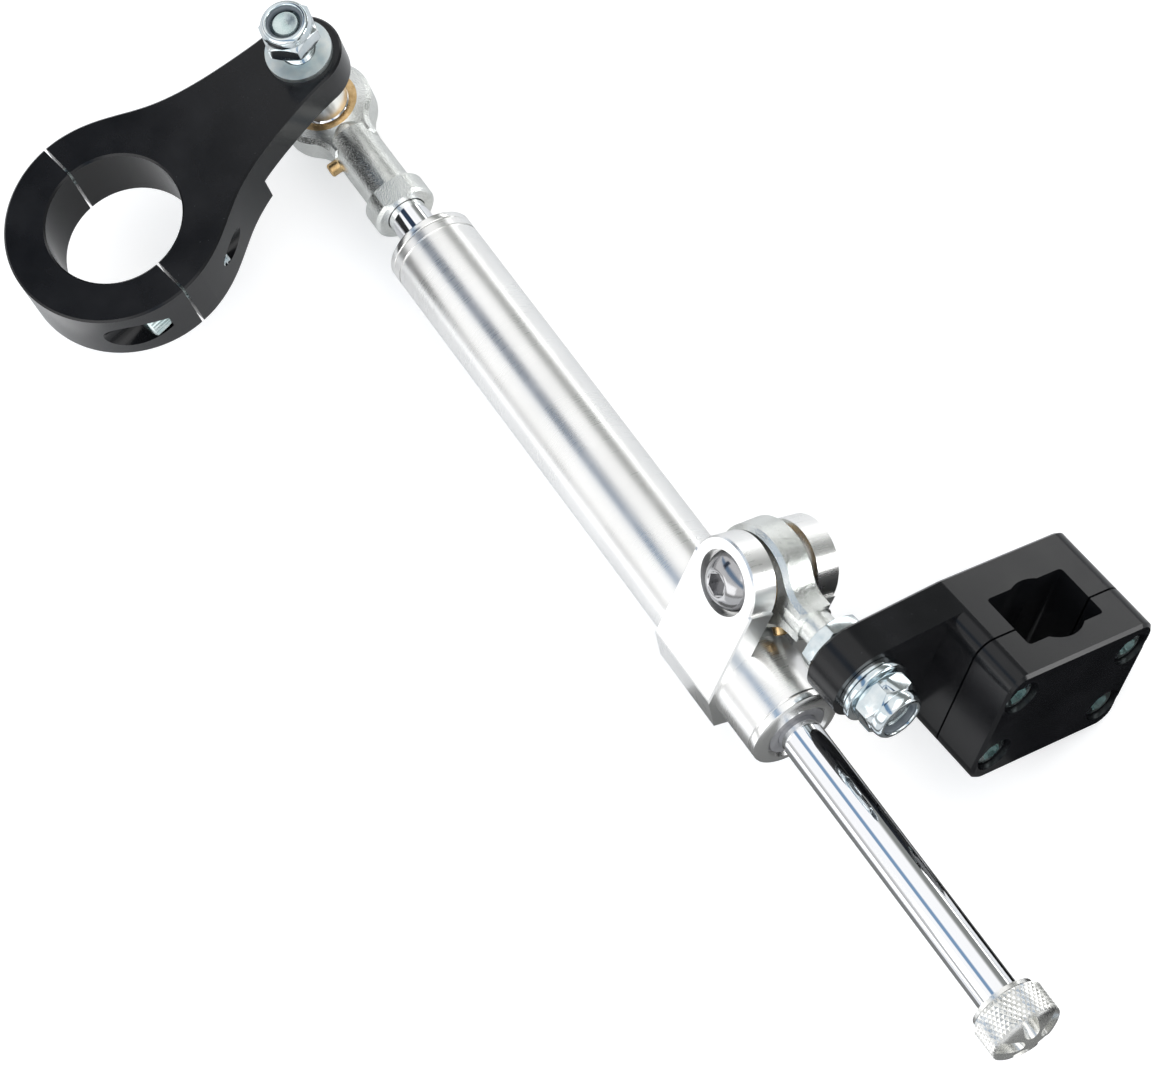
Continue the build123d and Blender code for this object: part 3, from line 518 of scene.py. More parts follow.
finishes = {
    "black_anodised": blackAnodised(),
    "satin_aluminium": turnedAluminium("satin aluminium", 0.25, 0.36),
    "polished_chrome": polishedChrome(),
    "zinc_plated": zincPlated("zinc plated", (0.56, 0.64, 0.68), (0.74, 0.78, 0.79), 0.07, 0.15),
    "forged_zinc": forgedZinc(),
    "polished_steel": polishedSteel(),
    "knurled_aluminium": knurledAluminium(),
    "brass": brass(),
    "nylon": softPlastic("nylon ring", (0.1, 0.12, 0.14), (0.16, 0.18, 0.2), 0.42, 1500),
    "bronze_bush": bronzeBush(),
    "seal_rubber": softPlastic("seal rubber", (0.2, 0.2, 0.21), (0.28, 0.28, 0.29), 0.4, 2200),
    "ptfe_band": softPlastic("slide band", (0.16, 0.1, 0.07), (0.22, 0.15, 0.1), 0.5, 1800),
}
washerZinc = zincPlated("washer zinc", (0.62, 0.7, 0.72), (0.8, 0.83, 0.8), 0.34, 0.5)
screwZinc = zincPlated("screw zinc", (0.5, 0.62, 0.62), (0.72, 0.8, 0.79), 0.2, 0.34)
capAluminium = turnedAluminium("fine turned aluminium", 0.18, 0.27)
slotNames = [material["slot"] for material in frame["record"]["materials"]]
for piece in nodes.values():
    slotName = piece.data.materials[0].name
    if slotName in slotNames:
        piece.material_slots[0].material = finishes[slotName]
nodes["fork_washer"].material_slots[0].material = washerZinc
print("finishes assigned")


# Lock nuts: chamfered hexagon, rolled collar and nylon ring

hexEdges = {"bevel": 0.12, "bevelAngle": 28, "spare": 1, "sides": 96, "smoothAngle": 40}
lockNut = {
    "flats": 15.5, "height": 10.0, "hexHeight": 6.6, "bore": 5.0, "footShare": 0.96, "crownShare": 0.97,
    "chamferShare": 1.6, "collar": 7.5, "collarFoot": (0.12, 0.25), "lip": 5.4,
    "collarCurve": [(0, 1.9), (0.25, 0.9), (0.75, 0.25), (1.25, 0)],  # inset and drop from the top
    "lipCurve": [(0.25, 0.1), (0, 0.45), (0, 0.8)],
    "nylonRoom": 6.5, "nylonFloor": 7.6, "nylonTop": 1, "nylonBore": 4.7, "nylonSlack": 0.1,
    "nylonMouth": [(0.15, 0.95), (0, 1.3)],
}


def cornerOf(flats):
    return flats / 2 / cos(pi / 6)


def hexPrism(name, flats, low, high):
    depth = (high - low) * mm
    bpy.ops.mesh.primitive_cylinder_add(
        vertices=6, radius=cornerOf(flats) * mm, depth=depth, location=(0, 0, low * mm + depth / 2)
    )
    prism = bpy.context.object
    prism.name = name
    bpy.ops.object.transform_apply(location=True, rotation=True, scale=True)
    bpy.ops.object.mode_set(mode="EDIT")
    bpy.ops.mesh.select_all(action="SELECT")
    bpy.ops.transform.rotate(value=pi / 6, orient_axis="Z", center_override=(0, 0, 0))
    bpy.ops.object.mode_set(mode="OBJECT")
    return prism


def hexWithin(name, flats, profile):
    # a hexagon bar cut down by a turned outline, as nuts are
    heights = [height for radius, height in profile]
    nut = hexPrism(name, flats, min(heights) - hexEdges["spare"], max(heights) + hexEdges["spare"])
    outline = turned(name + "Outline", profile, sides=hexEdges["sides"], ring=True)
    cutWith(nut, outline, "INTERSECT")
    useModifier(nut, "BEVEL", width=hexEdges["bevel"] * mm, segments=2, limit_method="ANGLE",
                angle_limit=radians(hexEdges["bevelAngle"]))
    smoothUnder(nut, hexEdges["smoothAngle"])
    return nut


def addLockNut(name, node, insert, body, toward, turn):
    size = lockNut
    half, hexTop, top = size["flats"] / 2, size["hexHeight"], size["height"]
    corner = cornerOf(size["flats"])
    chamfer = (corner - half * size["crownShare"]) * tan(pi / 6) * size["chamferShare"]
    footOut, footUp = size["collarFoot"]
    nut = hexWithin(name, size["flats"], [
        (size["bore"], 0), (half * size["footShare"], 0), (corner, chamfer), (corner, hexTop - chamfer),
        (half * size["crownShare"], hexTop), (size["collar"] + footOut, hexTop + footUp),
        *[(size["collar"] - inset, top - drop) for inset, drop in size["collarCurve"]],
        *[(size["lip"] + out, top - drop) for out, drop in size["lipCurve"]],
        (size["nylonRoom"], top - size["nylonTop"]), (size["nylonRoom"], size["nylonFloor"]),
        (size["bore"], size["nylonFloor"]), (size["bore"], 0),
    ])
    place = seatOf(node, toward) @ Matrix.Rotation(radians(turn), 4, "Z")
    putAt(nut, place)
    finish(nut, body, finishes["zinc_plated"], "zinc_plated", node)
    lipDrop = size["lipCurve"][-1][1]
    ring = turned(name + "Nylon", [
        (size["nylonBore"], size["nylonFloor"]), (size["nylonRoom"], size["nylonFloor"]),
        (size["nylonRoom"], top - size["nylonTop"]), (size["lip"] - size["nylonSlack"], top - lipDrop),
        *[(size["nylonBore"] + out, top - drop) for out, drop in size["nylonMouth"]],
        (size["nylonBore"], size["nylonFloor"]),
    ], ring=True)
    smoothUnder(ring, hexEdges["smoothAngle"])
    putAt(ring, place)
    finish(ring, body, finishes["nylon"], "nylon", insert)


addLockNut("forkLockNut", "fork_locknut", "fork_nut_insert", "fork_clamp", (0, 0, 1), 48.5)
addLockNut("studLockNut", "stud_locknut", "stud_nut_insert", "frame_clamp", (1, 0, 0), 0)
print("lock nuts made")


# Jam nut between the frame clamp and the rod end's neck

jamNut = {"flats": 17.0, "height": 5.0, "bore": 5.0, "faceShare": 0.96, "chamfer": 0.95, "boreEdge": 0.5}


def addJamNut():
    size = jamNut
    corner, face = cornerOf(size["flats"]), size["flats"] / 2 * size["faceShare"]
    height, edge = size["height"], size["boreEdge"]
    nut = hexWithin("jamNut", size["flats"], [
        (size["bore"] + edge, 0), (face, 0), (corner, size["chamfer"]), (corner, height - size["chamfer"]),
        (face, height), (size["bore"] + edge, height), (size["bore"], height - edge), (size["bore"], edge),
        (size["bore"] + edge, 0),
    ])
    putAt(nut, seatOf("jam_nut", (1, 0, 0)))
    finish(nut, "frame_clamp", finishes["zinc_plated"], "zinc_plated", "jam_nut")


addJamNut()
print("jam nut made")


# Washers under the stud's lock nut: a flat one against the arm and a rounded one on top

studWashers = {
    "bore": 5.3, "boreEdge": 0.3, "split": 0.46, "flatInset": 0.6, "flatEdge": 0.15, "grooveInset": 0.9,
    "groove": (0.2, 0.05), "smoothAngle": 40,
    "foot": [(0.35, 0.1), (0.1, 0.28), (0, 0.56)],  # inset and rise above the split
    "crown": [(0, 0.49), (0.1, 0.245), (0.35, 0.1), (0.8, 0)],  # inset and drop from the top
}


def addStudWashers():
    size = studWashers
    place = seatOf("stud_washers", (1, 0, 0))
    local = [place.inverted() @ vertex.co for vertex in nodes["stud_washers"].data.vertices]
    radius = max(point.xy.length for point in local) / mm
    thick = max(point.z for point in local) / mm
    split = thick * size["split"]
    flat, valley = radius - size["flatInset"], radius - size["grooveInset"]
    wide, narrow = size["groove"]
    rings = turned("studWashers", [
        (size["bore"], 0), (flat - size["flatEdge"], 0), (flat, size["flatEdge"]), (flat, split - wide),
        (valley, split - narrow), (valley, split + narrow),
        *[(radius - inset, split + rise) for inset, rise in size["foot"]],
        *[(radius - inset, thick - drop) for inset, drop in size["crown"]],
        (size["bore"] + size["boreEdge"], thick), (size["bore"], thick - size["boreEdge"]),
        (size["bore"], 0),
    ], sides=96, ring=True)
    smoothUnder(rings, size["smoothAngle"])
    putAt(rings, place)
    finish(rings, "frame_clamp", finishes["zinc_plated"], "zinc_plated", "stud_washers")


addStudWashers()
print("stud washers made")


# Threads: one turn's outline swept up by the screw modifier

def chain(name, points):
    # an open outline of single edges in the XZ plane, from one vertex extruded on and on
    bpy.ops.mesh.primitive_plane_add(size=mm, location=(0, 0, 0))
    outline = bpy.context.object
    outline.name = name
    bpy.ops.object.mode_set(mode="EDIT")
    bpy.ops.mesh.select_all(action="SELECT")
    bpy.ops.mesh.merge(type="CENTER")
    radius, height = points[0]
    bpy.ops.transform.translate(value=(radius * mm, 0, height * mm))
    for nextRadius, nextHeight in points[1:]:
        move = ((nextRadius - radius) * mm, 0, (nextHeight - height) * mm)
        bpy.ops.mesh.extrude_vertices_move(TRANSFORM_OT_translate={"value": move})
        radius, height = nextRadius, nextHeight
    bpy.ops.object.mode_set(mode="OBJECT")
    return outline


threadForm = {"flank": (0.42, 0.58), "steps": 40, "smoothAngle": 35}


def addThread(name, size, place, body, turns):
    crest, root, pitch = size["crest"], size["root"], size["pitch"]
    rise, fall = threadForm["flank"]
    thread = chain(name, [(root, 0), (crest, pitch * rise), (crest, pitch * fall), (root, pitch)])
    useModifier(thread, "SCREW", screw_offset=pitch * mm, iterations=turns, steps=threadForm["steps"],
                render_steps=threadForm["steps"], use_merge_vertices=True, merge_threshold=weldGap,
                use_smooth_shade=False)
    bpy.ops.object.mode_set(mode="EDIT")
    bpy.ops.mesh.select_all(action="SELECT")
    bpy.ops.mesh.remove_doubles(threshold=weldGap)
    bpy.ops.mesh.normals_make_consistent(inside=False)
    bpy.ops.object.mode_set(mode="OBJECT")
    smoothUnder(thread, threadForm["smoothAngle"])
    putAt(thread, place)
    finish(thread, body, finishes["zinc_plated"], "zinc_plated")


# Fork bolt: head below, shank through the arm, thread and dished end above

boltThread = {"crest": 4.98, "root": 4.42, "pitch": 1.25}
forkBolt = {
    "flats": 17.0, "footShare": 0.93, "headChamfer": 1.1, "headHeight": 6.4, "core": 0.4, "shank": 5.0,
    "sunk": 3, "threadFrom": 46.0, "runout": 0.6, "tip": (0.75, 0.9),
    "dishCurve": [(2.6, 0), (1.7, 0.25), (0.6, 0.32)], "bareEnd": 1.2, "smoothAngle": 35,
}


def addForkBolt():
    size = forkBolt
    corner, root, core = cornerOf(size["flats"]), boltThread["root"], size["core"]
    place = seatOf("fork_bolt", (0, 0, 1))
    top = max(vertex.co.z for vertex in nodes["fork_bolt"].data.vertices) / mm - place.translation.z / mm
    head = hexWithin("forkBolt", size["flats"], [
        (core, 0), (size["flats"] / 2 * size["footShare"], 0), (corner, size["headChamfer"]),
        (corner, size["headHeight"]), (core, size["headHeight"]), (core, 0),
    ])
    tipInset, tipHeight = size["tip"]
    shank = turned("forkBoltShank", [
        (size["shank"], size["sunk"]), (size["shank"], size["threadFrom"] - size["runout"]),
        (root, size["threadFrom"]), (root, top - tipHeight), (root - tipInset, top),
        *[(radius, top - drop) for radius, drop in size["dishCurve"]],
    ])
    smoothUnder(shank, size["smoothAngle"])
    cutWith(head, shank, "UNION")
    smoothUnder(head, size["smoothAngle"])
    turns = int((top - size["bareEnd"] - size["threadFrom"]) / boltThread["pitch"])
    putAt(head, place)
    finish(head, "fork_clamp", screwZinc, "zinc_plated", "fork_bolt")
    addThread("forkBoltThread", boltThread, place @ Matrix.Translation((0, 0, size["threadFrom"] * mm)),
              "fork_clamp", turns)


addForkBolt()
print("fork bolt made")


# Adjuster knob: diamond knurl, domed face, five tilted pockets that run out through the rim

knobShape = {
    "radius": 10.6, "root": 10.08, "bore": 4.5, "neck": 9.2, "low": 1.4, "high": 11.2, "bevel": 0.35,
    "rimEdge": 0.4, "coreGap": 0.02, "sleeveWall": 0.7, "across": 46, "rows": 4, "smoothAngle": 32,
    "dome": 2.4,
    "domeCurve": [(0.84, 0.27), (0.66, 0.54), (0.46, 0.78), (0.26, 0.93), (0.08, 1), (0.01, 1)],
    "pockets": 5, "pocketRadius": 2.3, "pocketInner": 5.6, "pocketTilt": -12, "pocketDrop": 0.1,
    "pocketRun": 8, "firstPocket": (-0.011257, 0.992546, 0.121348),  # where the first one points
}


def knurledSleeve(size):
    low, high = size["low"] + size["bevel"], size["high"] - size["bevel"]
    bpy.ops.mesh.primitive_cylinder_add(
        vertices=size["across"], radius=size["root"] * mm, depth=(high - low) * mm, end_fill_type="NOTHING",
        location=(0, 0, (high + low) / 2 * mm),
    )
    sleeve = bpy.context.object
    bpy.ops.object.transform_apply(location=True, rotation=True, scale=True)
    bpy.ops.object.mode_set(mode="EDIT")
    for row in range(1, size["rows"]):
        level = low + (high - low) * row / size["rows"]
        bpy.ops.mesh.select_all(action="SELECT")
        bpy.ops.mesh.bisect(plane_co=(0, 0, level * mm), plane_no=(0, 0, 1))
    bpy.ops.mesh.select_all(action="SELECT")
    bpy.ops.mesh.poke()
    bpy.ops.mesh.select_mode(type="EDGE")
    bpy.ops.mesh.select_all(action="DESELECT")
    bpy.ops.object.mode_set(mode="OBJECT")
    for edge in sleeve.data.edges:  # the square net, which leaves diamonds when it dissolves
        ends = [sleeve.data.vertices[index].co for index in edge.vertices]
        upright = (ends[0].xy - ends[1].xy).length < near * mm
        level = abs(ends[0].z - ends[1].z) < near * mm
        inner = (low + near) * mm < ends[0].z < (high - near) * mm
        edge.select = upright or (level and inner)
    bpy.ops.object.mode_set(mode="EDIT")
    bpy.ops.mesh.dissolve_edges(use_verts=False)
    bpy.ops.mesh.select_mode(type="FACE")
    bpy.ops.mesh.select_all(action="SELECT")
    bpy.ops.mesh.poke(offset=(size["radius"] - size["root"]) * mm)
    bpy.ops.mesh.select_mode(type="EDGE")
    bpy.ops.mesh.select_all(action="DESELECT")
    bpy.ops.mesh.select_non_manifold()
    bpy.ops.mesh.extrude_edges_move(TRANSFORM_OT_translate={"value": (0, 0, 0)})
    inward = (size["root"] - size["sleeveWall"]) / size["root"]
    bpy.ops.transform.resize(value=(inward, inward, 1), center_override=(0, 0, low * mm))
    bpy.ops.mesh.bridge_edge_loops()
    bpy.ops.mesh.select_mode(type="FACE")
    bpy.ops.mesh.select_all(action="SELECT")
    bpy.ops.mesh.normals_make_consistent(inside=False)
    bpy.ops.object.mode_set(mode="OBJECT")
    return sleeve


def addKnob():
    size = knobShape
    root, low, high, run = size["root"], size["low"], size["high"], size["pocketRun"] * mm
    sleeve = knurledSleeve(size)
    core = turned("knob", [
        (size["bore"], 0), (size["neck"], 0), (size["neck"], low), (root - size["rimEdge"], low),
        (root - size["coreGap"], low + size["bevel"]), (root - size["coreGap"], high - size["bevel"]),
        (root - size["rimEdge"], high),
        *[(root * out, high + size["dome"] * up) for out, up in size["domeCurve"]],
    ], sides=104)
    floor, inner = (high - size["pocketDrop"]) * mm, size["pocketInner"] * mm
    rim = Matrix.Translation((root * mm, 0, floor))
    tilt = rim @ Matrix.Rotation(radians(size["pocketTilt"]), 4, "Y") @ rim.inverted()
    for index in range(size["pockets"]):
        spoke = Matrix.Rotation(2 * pi * index / size["pockets"], 4, "Z")
        for piece in (sleeve, core):
            bpy.ops.mesh.primitive_cylinder_add(
                vertices=32, radius=size["pocketRadius"] * mm, depth=run,
                location=(inner, 0, floor + run / 2),
            )
            cutter = bpy.context.object
            bpy.ops.object.transform_apply(location=True, rotation=True, scale=True)
            selectVerts(cutter, lambda place: place.x > inner)
            bpy.ops.transform.translate(value=(run, 0, 0))
            bpy.ops.object.mode_set(mode="OBJECT")
            putAt(cutter, spoke @ tilt)
            cutWith(piece, cutter)
    smoothUnder(core, size["smoothAngle"])
    pickOnly(core)
    sleeve.select_set(True)
    bpy.ops.object.join()
    first = Vector(size["firstPocket"])
    first = (first - damperAxis * first.dot(damperAxis)).normalized()
    seat = Matrix.Translation(seatOf("knob", (1, 0, 0)).translation)
    putAt(core, seat @ turnTo(damperAxis, first))
    finish(core, "knob", finishes["knurled_aluminium"], "knurled_aluminium", "knob")


addKnob()
print("knob made")


# Socket head screws: knurled head, hexagon socket, shank with a smaller end for its thread

capScrew = {
    "head": 4.9, "headHeight": 6.0, "core": 0.3, "crown": [(1.3, 0), (0.6, 0.3), (0.12, 0.6), (0, 0.9)],
    "foot": (0.15, 0.5), "shank": 2.98, "thread": 2.5, "tip": (0.5, 0.4), "socket": 5.0, "socketDepth": 3.2,
    "grooves": 36, "grooveShrink": 0.955, "smoothAngle": 25, "room": 5.0,
}
screwThread = {"crest": 2.96, "root": 2.48, "pitch": 1.0}


def makeCapScrew(name, length, threadLength):
    size = capScrew
    head, headHeight, thread = size["head"], size["headHeight"], size["thread"]
    footInset, footHeight = size["foot"]
    tipInset, tipHeight = size["tip"]
    low, high, end = size["crown"][-1][1], headHeight - footHeight, headHeight + length
    screw = turned(name, [
        (size["core"], 0), *[(head - inset, height) for inset, height in size["crown"]], (head, high),
        (head - footInset, headHeight), (size["shank"], headHeight), (size["shank"], end - threadLength),
        (thread, end - threadLength), (thread, end - tipHeight), (thread - tipInset, end),
        (size["core"], end),
    ], sides=size["grooves"] * 2)

    def inGroove(place):
        share = (place.xy.angle_signed(Vector((1, 0)), 0) / (2 * pi)) % 1 * size["grooves"] * 2
        between = (low - near) * mm < place.z < (high + near) * mm
        return between and place.xy.length > (head - near) * mm and round(share) % 2 == 0

    selectVerts(screw, inGroove)
    shrink = size["grooveShrink"]
    bpy.ops.transform.resize(value=(shrink, shrink, 1), center_override=(0, 0, 0))
    bpy.ops.object.mode_set(mode="OBJECT")
    cutWith(screw, hexPrism(name + "Socket", size["socket"], -hexEdges["spare"], size["socketDepth"]))
    smoothUnder(screw, size["smoothAngle"])
    return screw


def spotsOf(node, across, up, headward):
    # where a node's screws start, from its outline along the three directions given
    points = [vertex.co for vertex in nodes[node].data.vertices]
    room = capScrew["room"] * mm
    sideways = [point.dot(across) for point in points]
    upward = [point.dot(up) for point in points]
    top = max(point.dot(headward) for point in points)
    spots = []
    for side in (min(sideways) + room, max(sideways) - room):
        for level in (min(upward) + room, max(upward) - room):
            place = across * side + up * level + headward * top
            if not any((place - spot).length < mm for spot in spots):
                spots.append(place)
    return spots


def addScrews(name, node, body, across, up, headward, length, threadLength):
    turn = turnTo(headward * -1, across)
    made = []
    for index, spot in enumerate(spotsOf(node, across, up, headward)):
        place = Matrix.Translation(spot) @ turn
        screw = makeCapScrew(name + str(index + 1), length, threadLength)
        putAt(screw, place)
        made.append(screw)
        if threadLength:
            start = (capScrew["headHeight"] + length - threadLength) * mm
            turns = int(threadLength / screwThread["pitch"]) - 1
            addThread(name + "Thread" + str(index + 1), screwThread,
                      place @ Matrix.Translation((0, 0, start)), body, turns)
    pickOnly(made[0])
    for screw in made[1:]:
        screw.select_set(True)
    bpy.ops.object.join()
    return made[0]


frameOut = flatAxis("stud_washers", (1, 0, 0))
frameUp = Vector(joints["lower_tilt"]["axis"])
frameAcross = frameUp.cross(frameOut).normalized()
frameScrews = addScrews(
    "frameScrew", "frame_screws", "frame_clamp", frameAcross, frameUp, frameOut,
    length=30.0, threadLength=0,
)
finish(frameScrews, "frame_clamp", screwZinc, "zinc_plated", "frame_screws")

forkIn = flatAxis("fork_screws", (0, 1, 0))
forkUp = Vector((0, 0, 1))
forkScrews = addScrews(
    "forkScrew", "fork_screws", "fork_clamp", forkUp.cross(forkIn) * -1, forkUp, forkIn * -1,
    length=25.0, threadLength=14.0,
)
finish(forkScrews, "fork_clamp", screwZinc, "zinc_plated", "fork_screws")
print("cap screws made")


# Button head screw through the ears and the lower ball

pivotScrew = {
    "end": -15.0, "shank": 5.0, "seat": 11.8, "head": 8.75, "crown": 4.2, "headHeight": 5.5,
    "headEdge": (0.2, 0.15), "domeRadius": 9.13, "domeSink": 2.6, "steps": 14,
    "rim": [(0.5, 0), (0.9, 0.25)], "core": 0.3, "tip": 0.6, "socket": 6.0, "socketDepth": 3.4,
    "smoothAngle": 30,
}


def addPivotScrew():
    size = pivotScrew
    shank, seat, radius, sink = size["shank"], size["seat"], size["domeRadius"], size["domeSink"]
    edgeInset, edgeHeight = size["headEdge"]
    profile = [
        (size["core"], size["end"]), (shank - size["tip"], size["end"]), (shank, size["end"] + size["tip"]),
        (shank, seat), (size["head"] - edgeInset, seat),
    ]
    start, stop = asin(sink / radius), acos(size["crown"] / radius)
    for step in range(size["steps"] + 1):
        angle = start + (stop - start) * step / size["steps"]
        profile.append((radius * cos(angle), seat + max(radius * sin(angle) - sink, edgeHeight)))
    top = seat + size["headHeight"]
    profile += [(size["crown"] - inset, top - drop) for inset, drop in size["rim"]]
    profile.append((size["core"], profile[-1][1]))
    screw = turned("pivotScrew", profile, sides=96)
    floor, roof = top - size["socketDepth"], top + hexEdges["spare"]
    cutWith(screw, hexPrism("pivotSocket", size["socket"], floor, roof))
    smoothUnder(screw, size["smoothAngle"])
    axis = Vector(joints["lower_swing"]["axis"])
    putAt(screw, Matrix.Translation(joints["lower_swing"]["pos_m"]) @ turnTo(axis))
    finish(screw, "cylinder", finishes["polished_steel"], "polished_steel", "pivot_screw")


addPivotScrew()
print("pivot screw made")


# Grease nipples on the two rod ends

nipple = {"radius": 2.15, "core": 0.2, "edge": 0.45, "dimple": 0.8, "dimpleFloor": 0.48, "dimpleDepth": 0.5}


def addNipple(name, node, body, head):
    # a nipple points away from the middle of its rod end's ball
    size = nipple
    lean = flatAxis(node, (0, 0, 1))
    points = [vertex.co for vertex in nodes[node].data.vertices]
    middle = sum(points, Vector()) / len(points)
    if lean.dot(middle - head) < 0:
        lean = -lean
    low, high = [pick(point.dot(lean) for point in points) for pick in (min, max)]
    length = (high - low) / mm
    floor = length - size["dimpleDepth"]
    piece = turned(name, [
        (size["core"], 0), (size["radius"], 0), (size["radius"], length - size["edge"]),
        (size["radius"] - size["edge"], length), (size["dimple"], length), (size["dimpleFloor"], floor),
        (size["core"], floor),
    ], sides=40)
    smoothUnder(piece, 40)
    putAt(piece, Matrix.Translation(middle - lean * (middle.dot(lean) - low)) @ turnTo(lean))
    finish(piece, body, finishes["brass"], "brass", node)


addNipple("upperNipple", "upper_nipple", "rod", Vector(joints["upper_tilt"]["pos_m"]))
addNipple("lowerNipple", "lower_nipple", "frame_clamp", Vector(joints["lower_tilt"]["pos_m"]))
print("nipples made")


# End caps: spigot, fine groove against the tube, polished bevel and stepped mouth

endCap = [
    (7.3, 0), (11.0, 0), (11.0, 18.0), (13.0, 18.0), (13.0, 18.3), (13.4, 18.45), (13.5, 18.65),
    (13.5, 20.3), (13.4, 20.6), (13.15, 20.8), (10.2, 21.95), (9.9, 22.0), (9.6, 21.9), (8.8, 21.0),
    (8.6, 20.8), (8.6, 16.7), (7.3, 16.7), (7.3, 0),
]


def onDamper(node, sense):
    # a place on the damper's axis at the node's low end, seen along the sense given
    axis = damperAxis * sense
    start = min(vertex.co.dot(axis) for vertex in nodes[node].data.vertices)
    return Matrix.Translation(damperOrigin + axis * (start - damperOrigin.dot(axis))) @ turnTo(axis)


for name, node, sense in (("upperCap", "upper_cap", -1), ("lowerCap", "lower_cap", 1)):
    cap = turned(name, endCap, sides=144, ring=True)
    smoothUnder(cap, 25)
    putAt(cap, onDamper(node, sense))
    finish(cap, "cylinder", capAluminium, "satin_aluminium", node)
print("end caps made")


# The fork ring's halves drawn closer at the split, where the photograph shows them nearly touching

splitMove = 0.4 * mm


def drawCloser(node, sense):
    piece = nodes[node]
    inward = forkIn * sense
    reach = [vertex.co.dot(inward) for vertex in piece.data.vertices]
    face = [index for index, value in enumerate(reach) if value > max(reach) - 2 * near * mm]
    piece.vertex_groups.new(name="split").add(face, 1, "REPLACE")
    for letter, part in zip("XYZ", inward):
        modifier = piece.modifiers.new("Split" + letter, "DISPLACE")
        modifier.direction = letter
        modifier.strength = splitMove * part
        modifier.mid_level = 0
        modifier.vertex_group = "split"


drawCloser("fork_cap", 1)
drawCloser("fork_arm", -1)
print("split drawn closer")


# Studio: floor, world, lamps, camera and cards

studio = {
    "floorSpan": 6.0, "floorMiddle": 0.17, "floorGap": 0.0005, "floorColor": (0.82, 0.82, 0.82),
    "floorLift": 0.4,
}


def addFloor():
    low = cadBox[0][2] - studio["floorGap"]
    bpy.ops.mesh.primitive_plane_add(size=studio["floorSpan"], location=(studio["floorMiddle"], 0, low))
    floor = bpy.context.object
    floor.name = "floor"
    material = bpy.data.materials.new("studio floor")
    material.use_nodes = True
    tree = material.node_tree
    shader = tree.nodes["Principled BSDF"]
    shader.inputs["Base Color"].default_value = (*studio["floorColor"], 1)
    shader.inputs["Roughness"].default_value = 0.9
    shader.inputs["Specular IOR Level"].default_value = 0
    path = tree.nodes.new("ShaderNodeLightPath")
    shader.inputs["Emission Color"].default_value = (1, 1, 1, 1)
    tree.links.new(
        mathNode(tree, "MULTIPLY", path.outputs["Is Camera Ray"], studio["floorLift"]),
        shader.inputs["Emission Strength"],
    )
    floor.data.materials.append(material)


# round the damper's length, degrees from overhead towards +Y: what the studio shows there
surround = [
    (-90, (0.5, 0.5, 0.5)), (-78, (0.7, 0.7, 0.7)), (-72, (1.1, 1.1, 1.1)), (-30, (1.1, 1.1, 1.1)),
    (-26, (0.22, 0.35, 0.53)), (-14, (0.22, 0.35, 0.53)), (-8, (1.1, 1.1, 1.1)), (40, (1.1, 1.1, 1.1)),
    (50, (0.4, 0.41, 0.4)), (56, (0.26, 0.27, 0.26)), (84, (0.26, 0.27, 0.26)), (90, (0.34, 0.34, 0.34)),
]


def lightWorld():
    # the camera sees plain white, everything else sees the bands
    world = bpy.data.worlds.new("studio")
    bpy.context.scene.world = world
    world.use_nodes = True
    tree = world.node_tree
    background = tree.nodes["Background"]
    path = tree.nodes.new("ShaderNodeLightPath")
    direction = tree.nodes.new("ShaderNodeTexCoord")
    apart = tree.nodes.new("ShaderNodeSeparateXYZ")
    tree.links.new(direction.outputs["Generated"], apart.inputs["Vector"])
    lean = mathNode(tree, "ARCTAN2", apart.outputs["Y"], apart.outputs["Z"])
    bands = tree.nodes.new("ShaderNodeValToRGB")
    tree.links.new(rangeNode(tree, lean, -pi / 2, pi / 2), bands.inputs["Fac"])
    stops = bands.color_ramp.elements
    while len(stops) < len(surround):
        stops.new(0.5)
    for stop, (angle, color) in zip(stops, surround):
        stop.position = (angle + 90) / 180
        stop.color = (*color, 1)
    tree.links.new(
        mixColor(tree, path.outputs["Is Camera Ray"], bands.outputs["Color"], (1, 1, 1)),
        background.inputs["Color"],
    )


lamps = {
    "rightBox": {"place": (0.62, 0.62, 1.08), "aim": (0.17, 0.03, 0), "size": (1.5, 0.9), "power": 3.5},
    "leftBox": {"place": (0.45, -1.1, 0.62), "aim": (0.17, 0.03, 0), "size": (1.6, 0.8), "power": 4.5},
    "edgeBox": {"place": (1.02, 1.1, 0.12), "aim": (0.27, 0.12, 0), "size": (0.5, 0.3), "power": 3.0},
    "backBar": {"place": (-0.3, 1.1, 0.16), "aim": (0.2, 0.1, 0), "size": (1.1, 0.16), "power": 1.3},
}


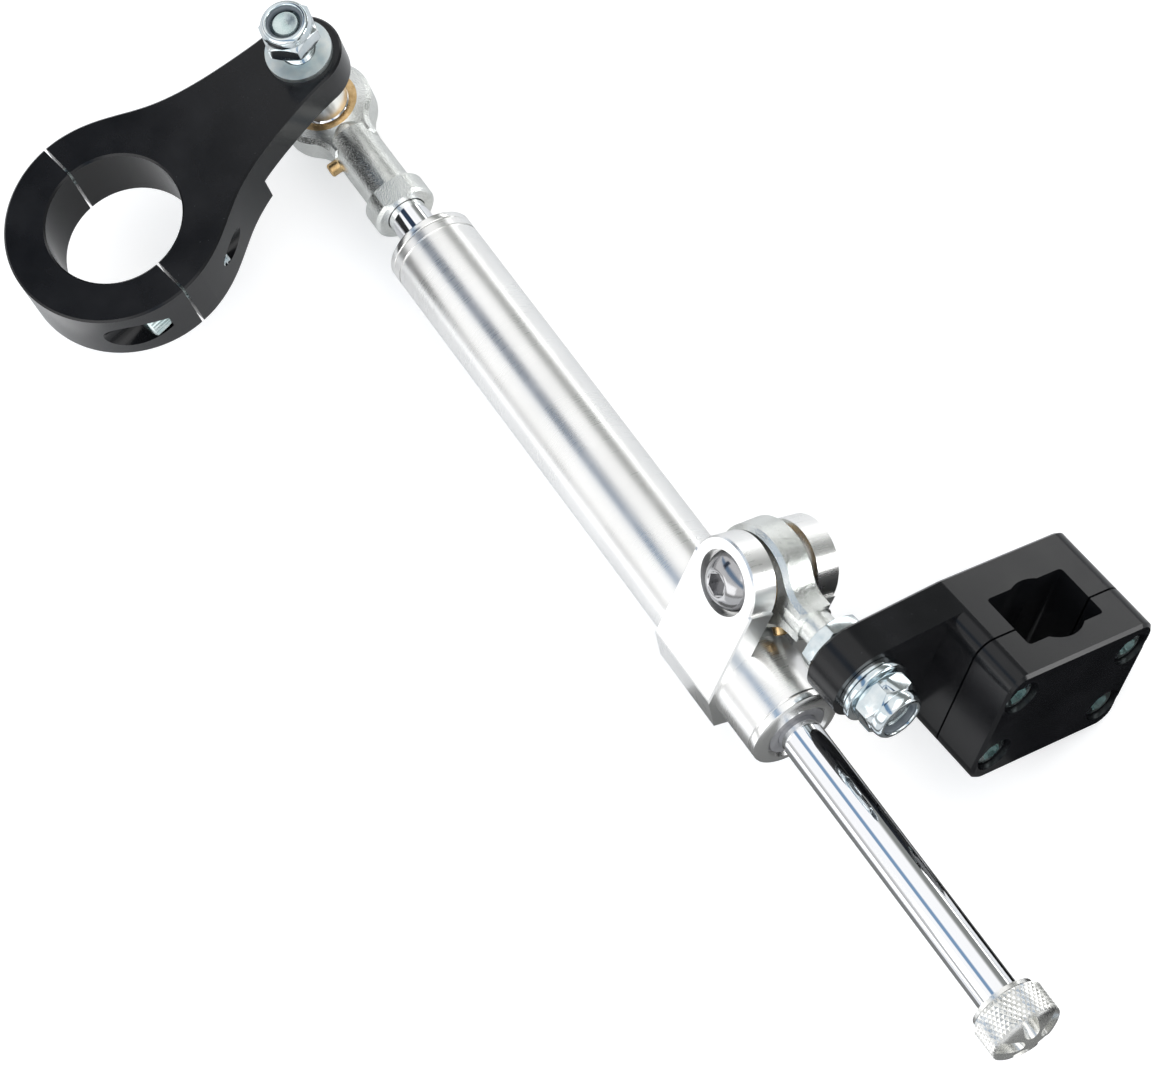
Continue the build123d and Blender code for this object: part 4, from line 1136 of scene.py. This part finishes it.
def addLamp(name, setup):
    bpy.ops.object.light_add(type="AREA", location=setup["place"])
    lamp = bpy.context.object
    lamp.name = name
    lamp.data.shape = "RECTANGLE"
    lamp.data.size, lamp.data.size_y = setup["size"]
    lamp.data.energy = setup["power"]
    toward = Vector(setup["aim"]) - Vector(setup["place"])
    lamp.rotation_euler = toward.to_track_quat("-Z", "Y").to_euler()
    lamp.visible_camera = False


cameraSetup = {"place": (0.56808, -0.01663, 0.94525), "turn": (21.626, 9.822, 56.614), "lens": 116.07}


def addCamera():
    turn = [radians(angle) for angle in cameraSetup["turn"]]
    bpy.ops.object.camera_add(location=cameraSetup["place"], rotation=turn)
    camera = bpy.context.object
    camera.data.sensor_fit = "HORIZONTAL"
    camera.data.sensor_width = 36
    camera.data.lens = cameraSetup["lens"]
    camera.data.clip_start = 0.01
    bpy.context.scene.camera = camera


# cards on the floor and one overhead for the flat faces to mirror; the camera sees past them
cards = {
    "darkCard": {"middle": (0.42, 0.145, 0), "span": (0.29, 0.09), "color": (0.006, 0.006, 0.006)},
    "greyCard": {"middle": (0.55, 0.055, 0), "span": (0.7, 0.13), "color": (0.22, 0.22, 0.215)},
    "paleCard": {"middle": (0.11, -0.3, 0), "span": (0.3, 0.5), "color": (0.8, 0.8, 0.8), "glow": 0.8},
    "skyCard": {"middle": (-0.5, -0.1, 0.74), "span": (0.4, 0.38), "color": (0.04, 0.06, 0.1)},
}


def addCard(name, setup):
    rise = Vector((0, 0, cadBox[0][2] - studio["floorGap"] / 2))
    bpy.ops.mesh.primitive_plane_add(size=1, location=Vector(setup["middle"]) + rise)
    card = bpy.context.object
    card.name = name
    bpy.ops.transform.resize(value=(*setup["span"], 1))
    material = bpy.data.materials.new(name)
    material.use_nodes = True
    shader = material.node_tree.nodes["Principled BSDF"]
    shader.inputs["Base Color"].default_value = (*setup["color"], 1)
    shader.inputs["Roughness"].default_value = 1
    shader.inputs["Specular IOR Level"].default_value = 0
    shader.inputs["Emission Color"].default_value = (1, 1, 1, 1)
    shader.inputs["Emission Strength"].default_value = setup.get("glow", 0)
    card.data.materials.append(material)
    card.visible_camera = False
    card.visible_diffuse = False
    card.visible_shadow = False


addFloor()
for name, setup in cards.items():
    addCard(name, setup)
lightWorld()
for name, setup in lamps.items():
    addLamp(name, setup)
addCamera()
bpy.context.scene.view_settings.view_transform = "Standard"
print("studio ready")
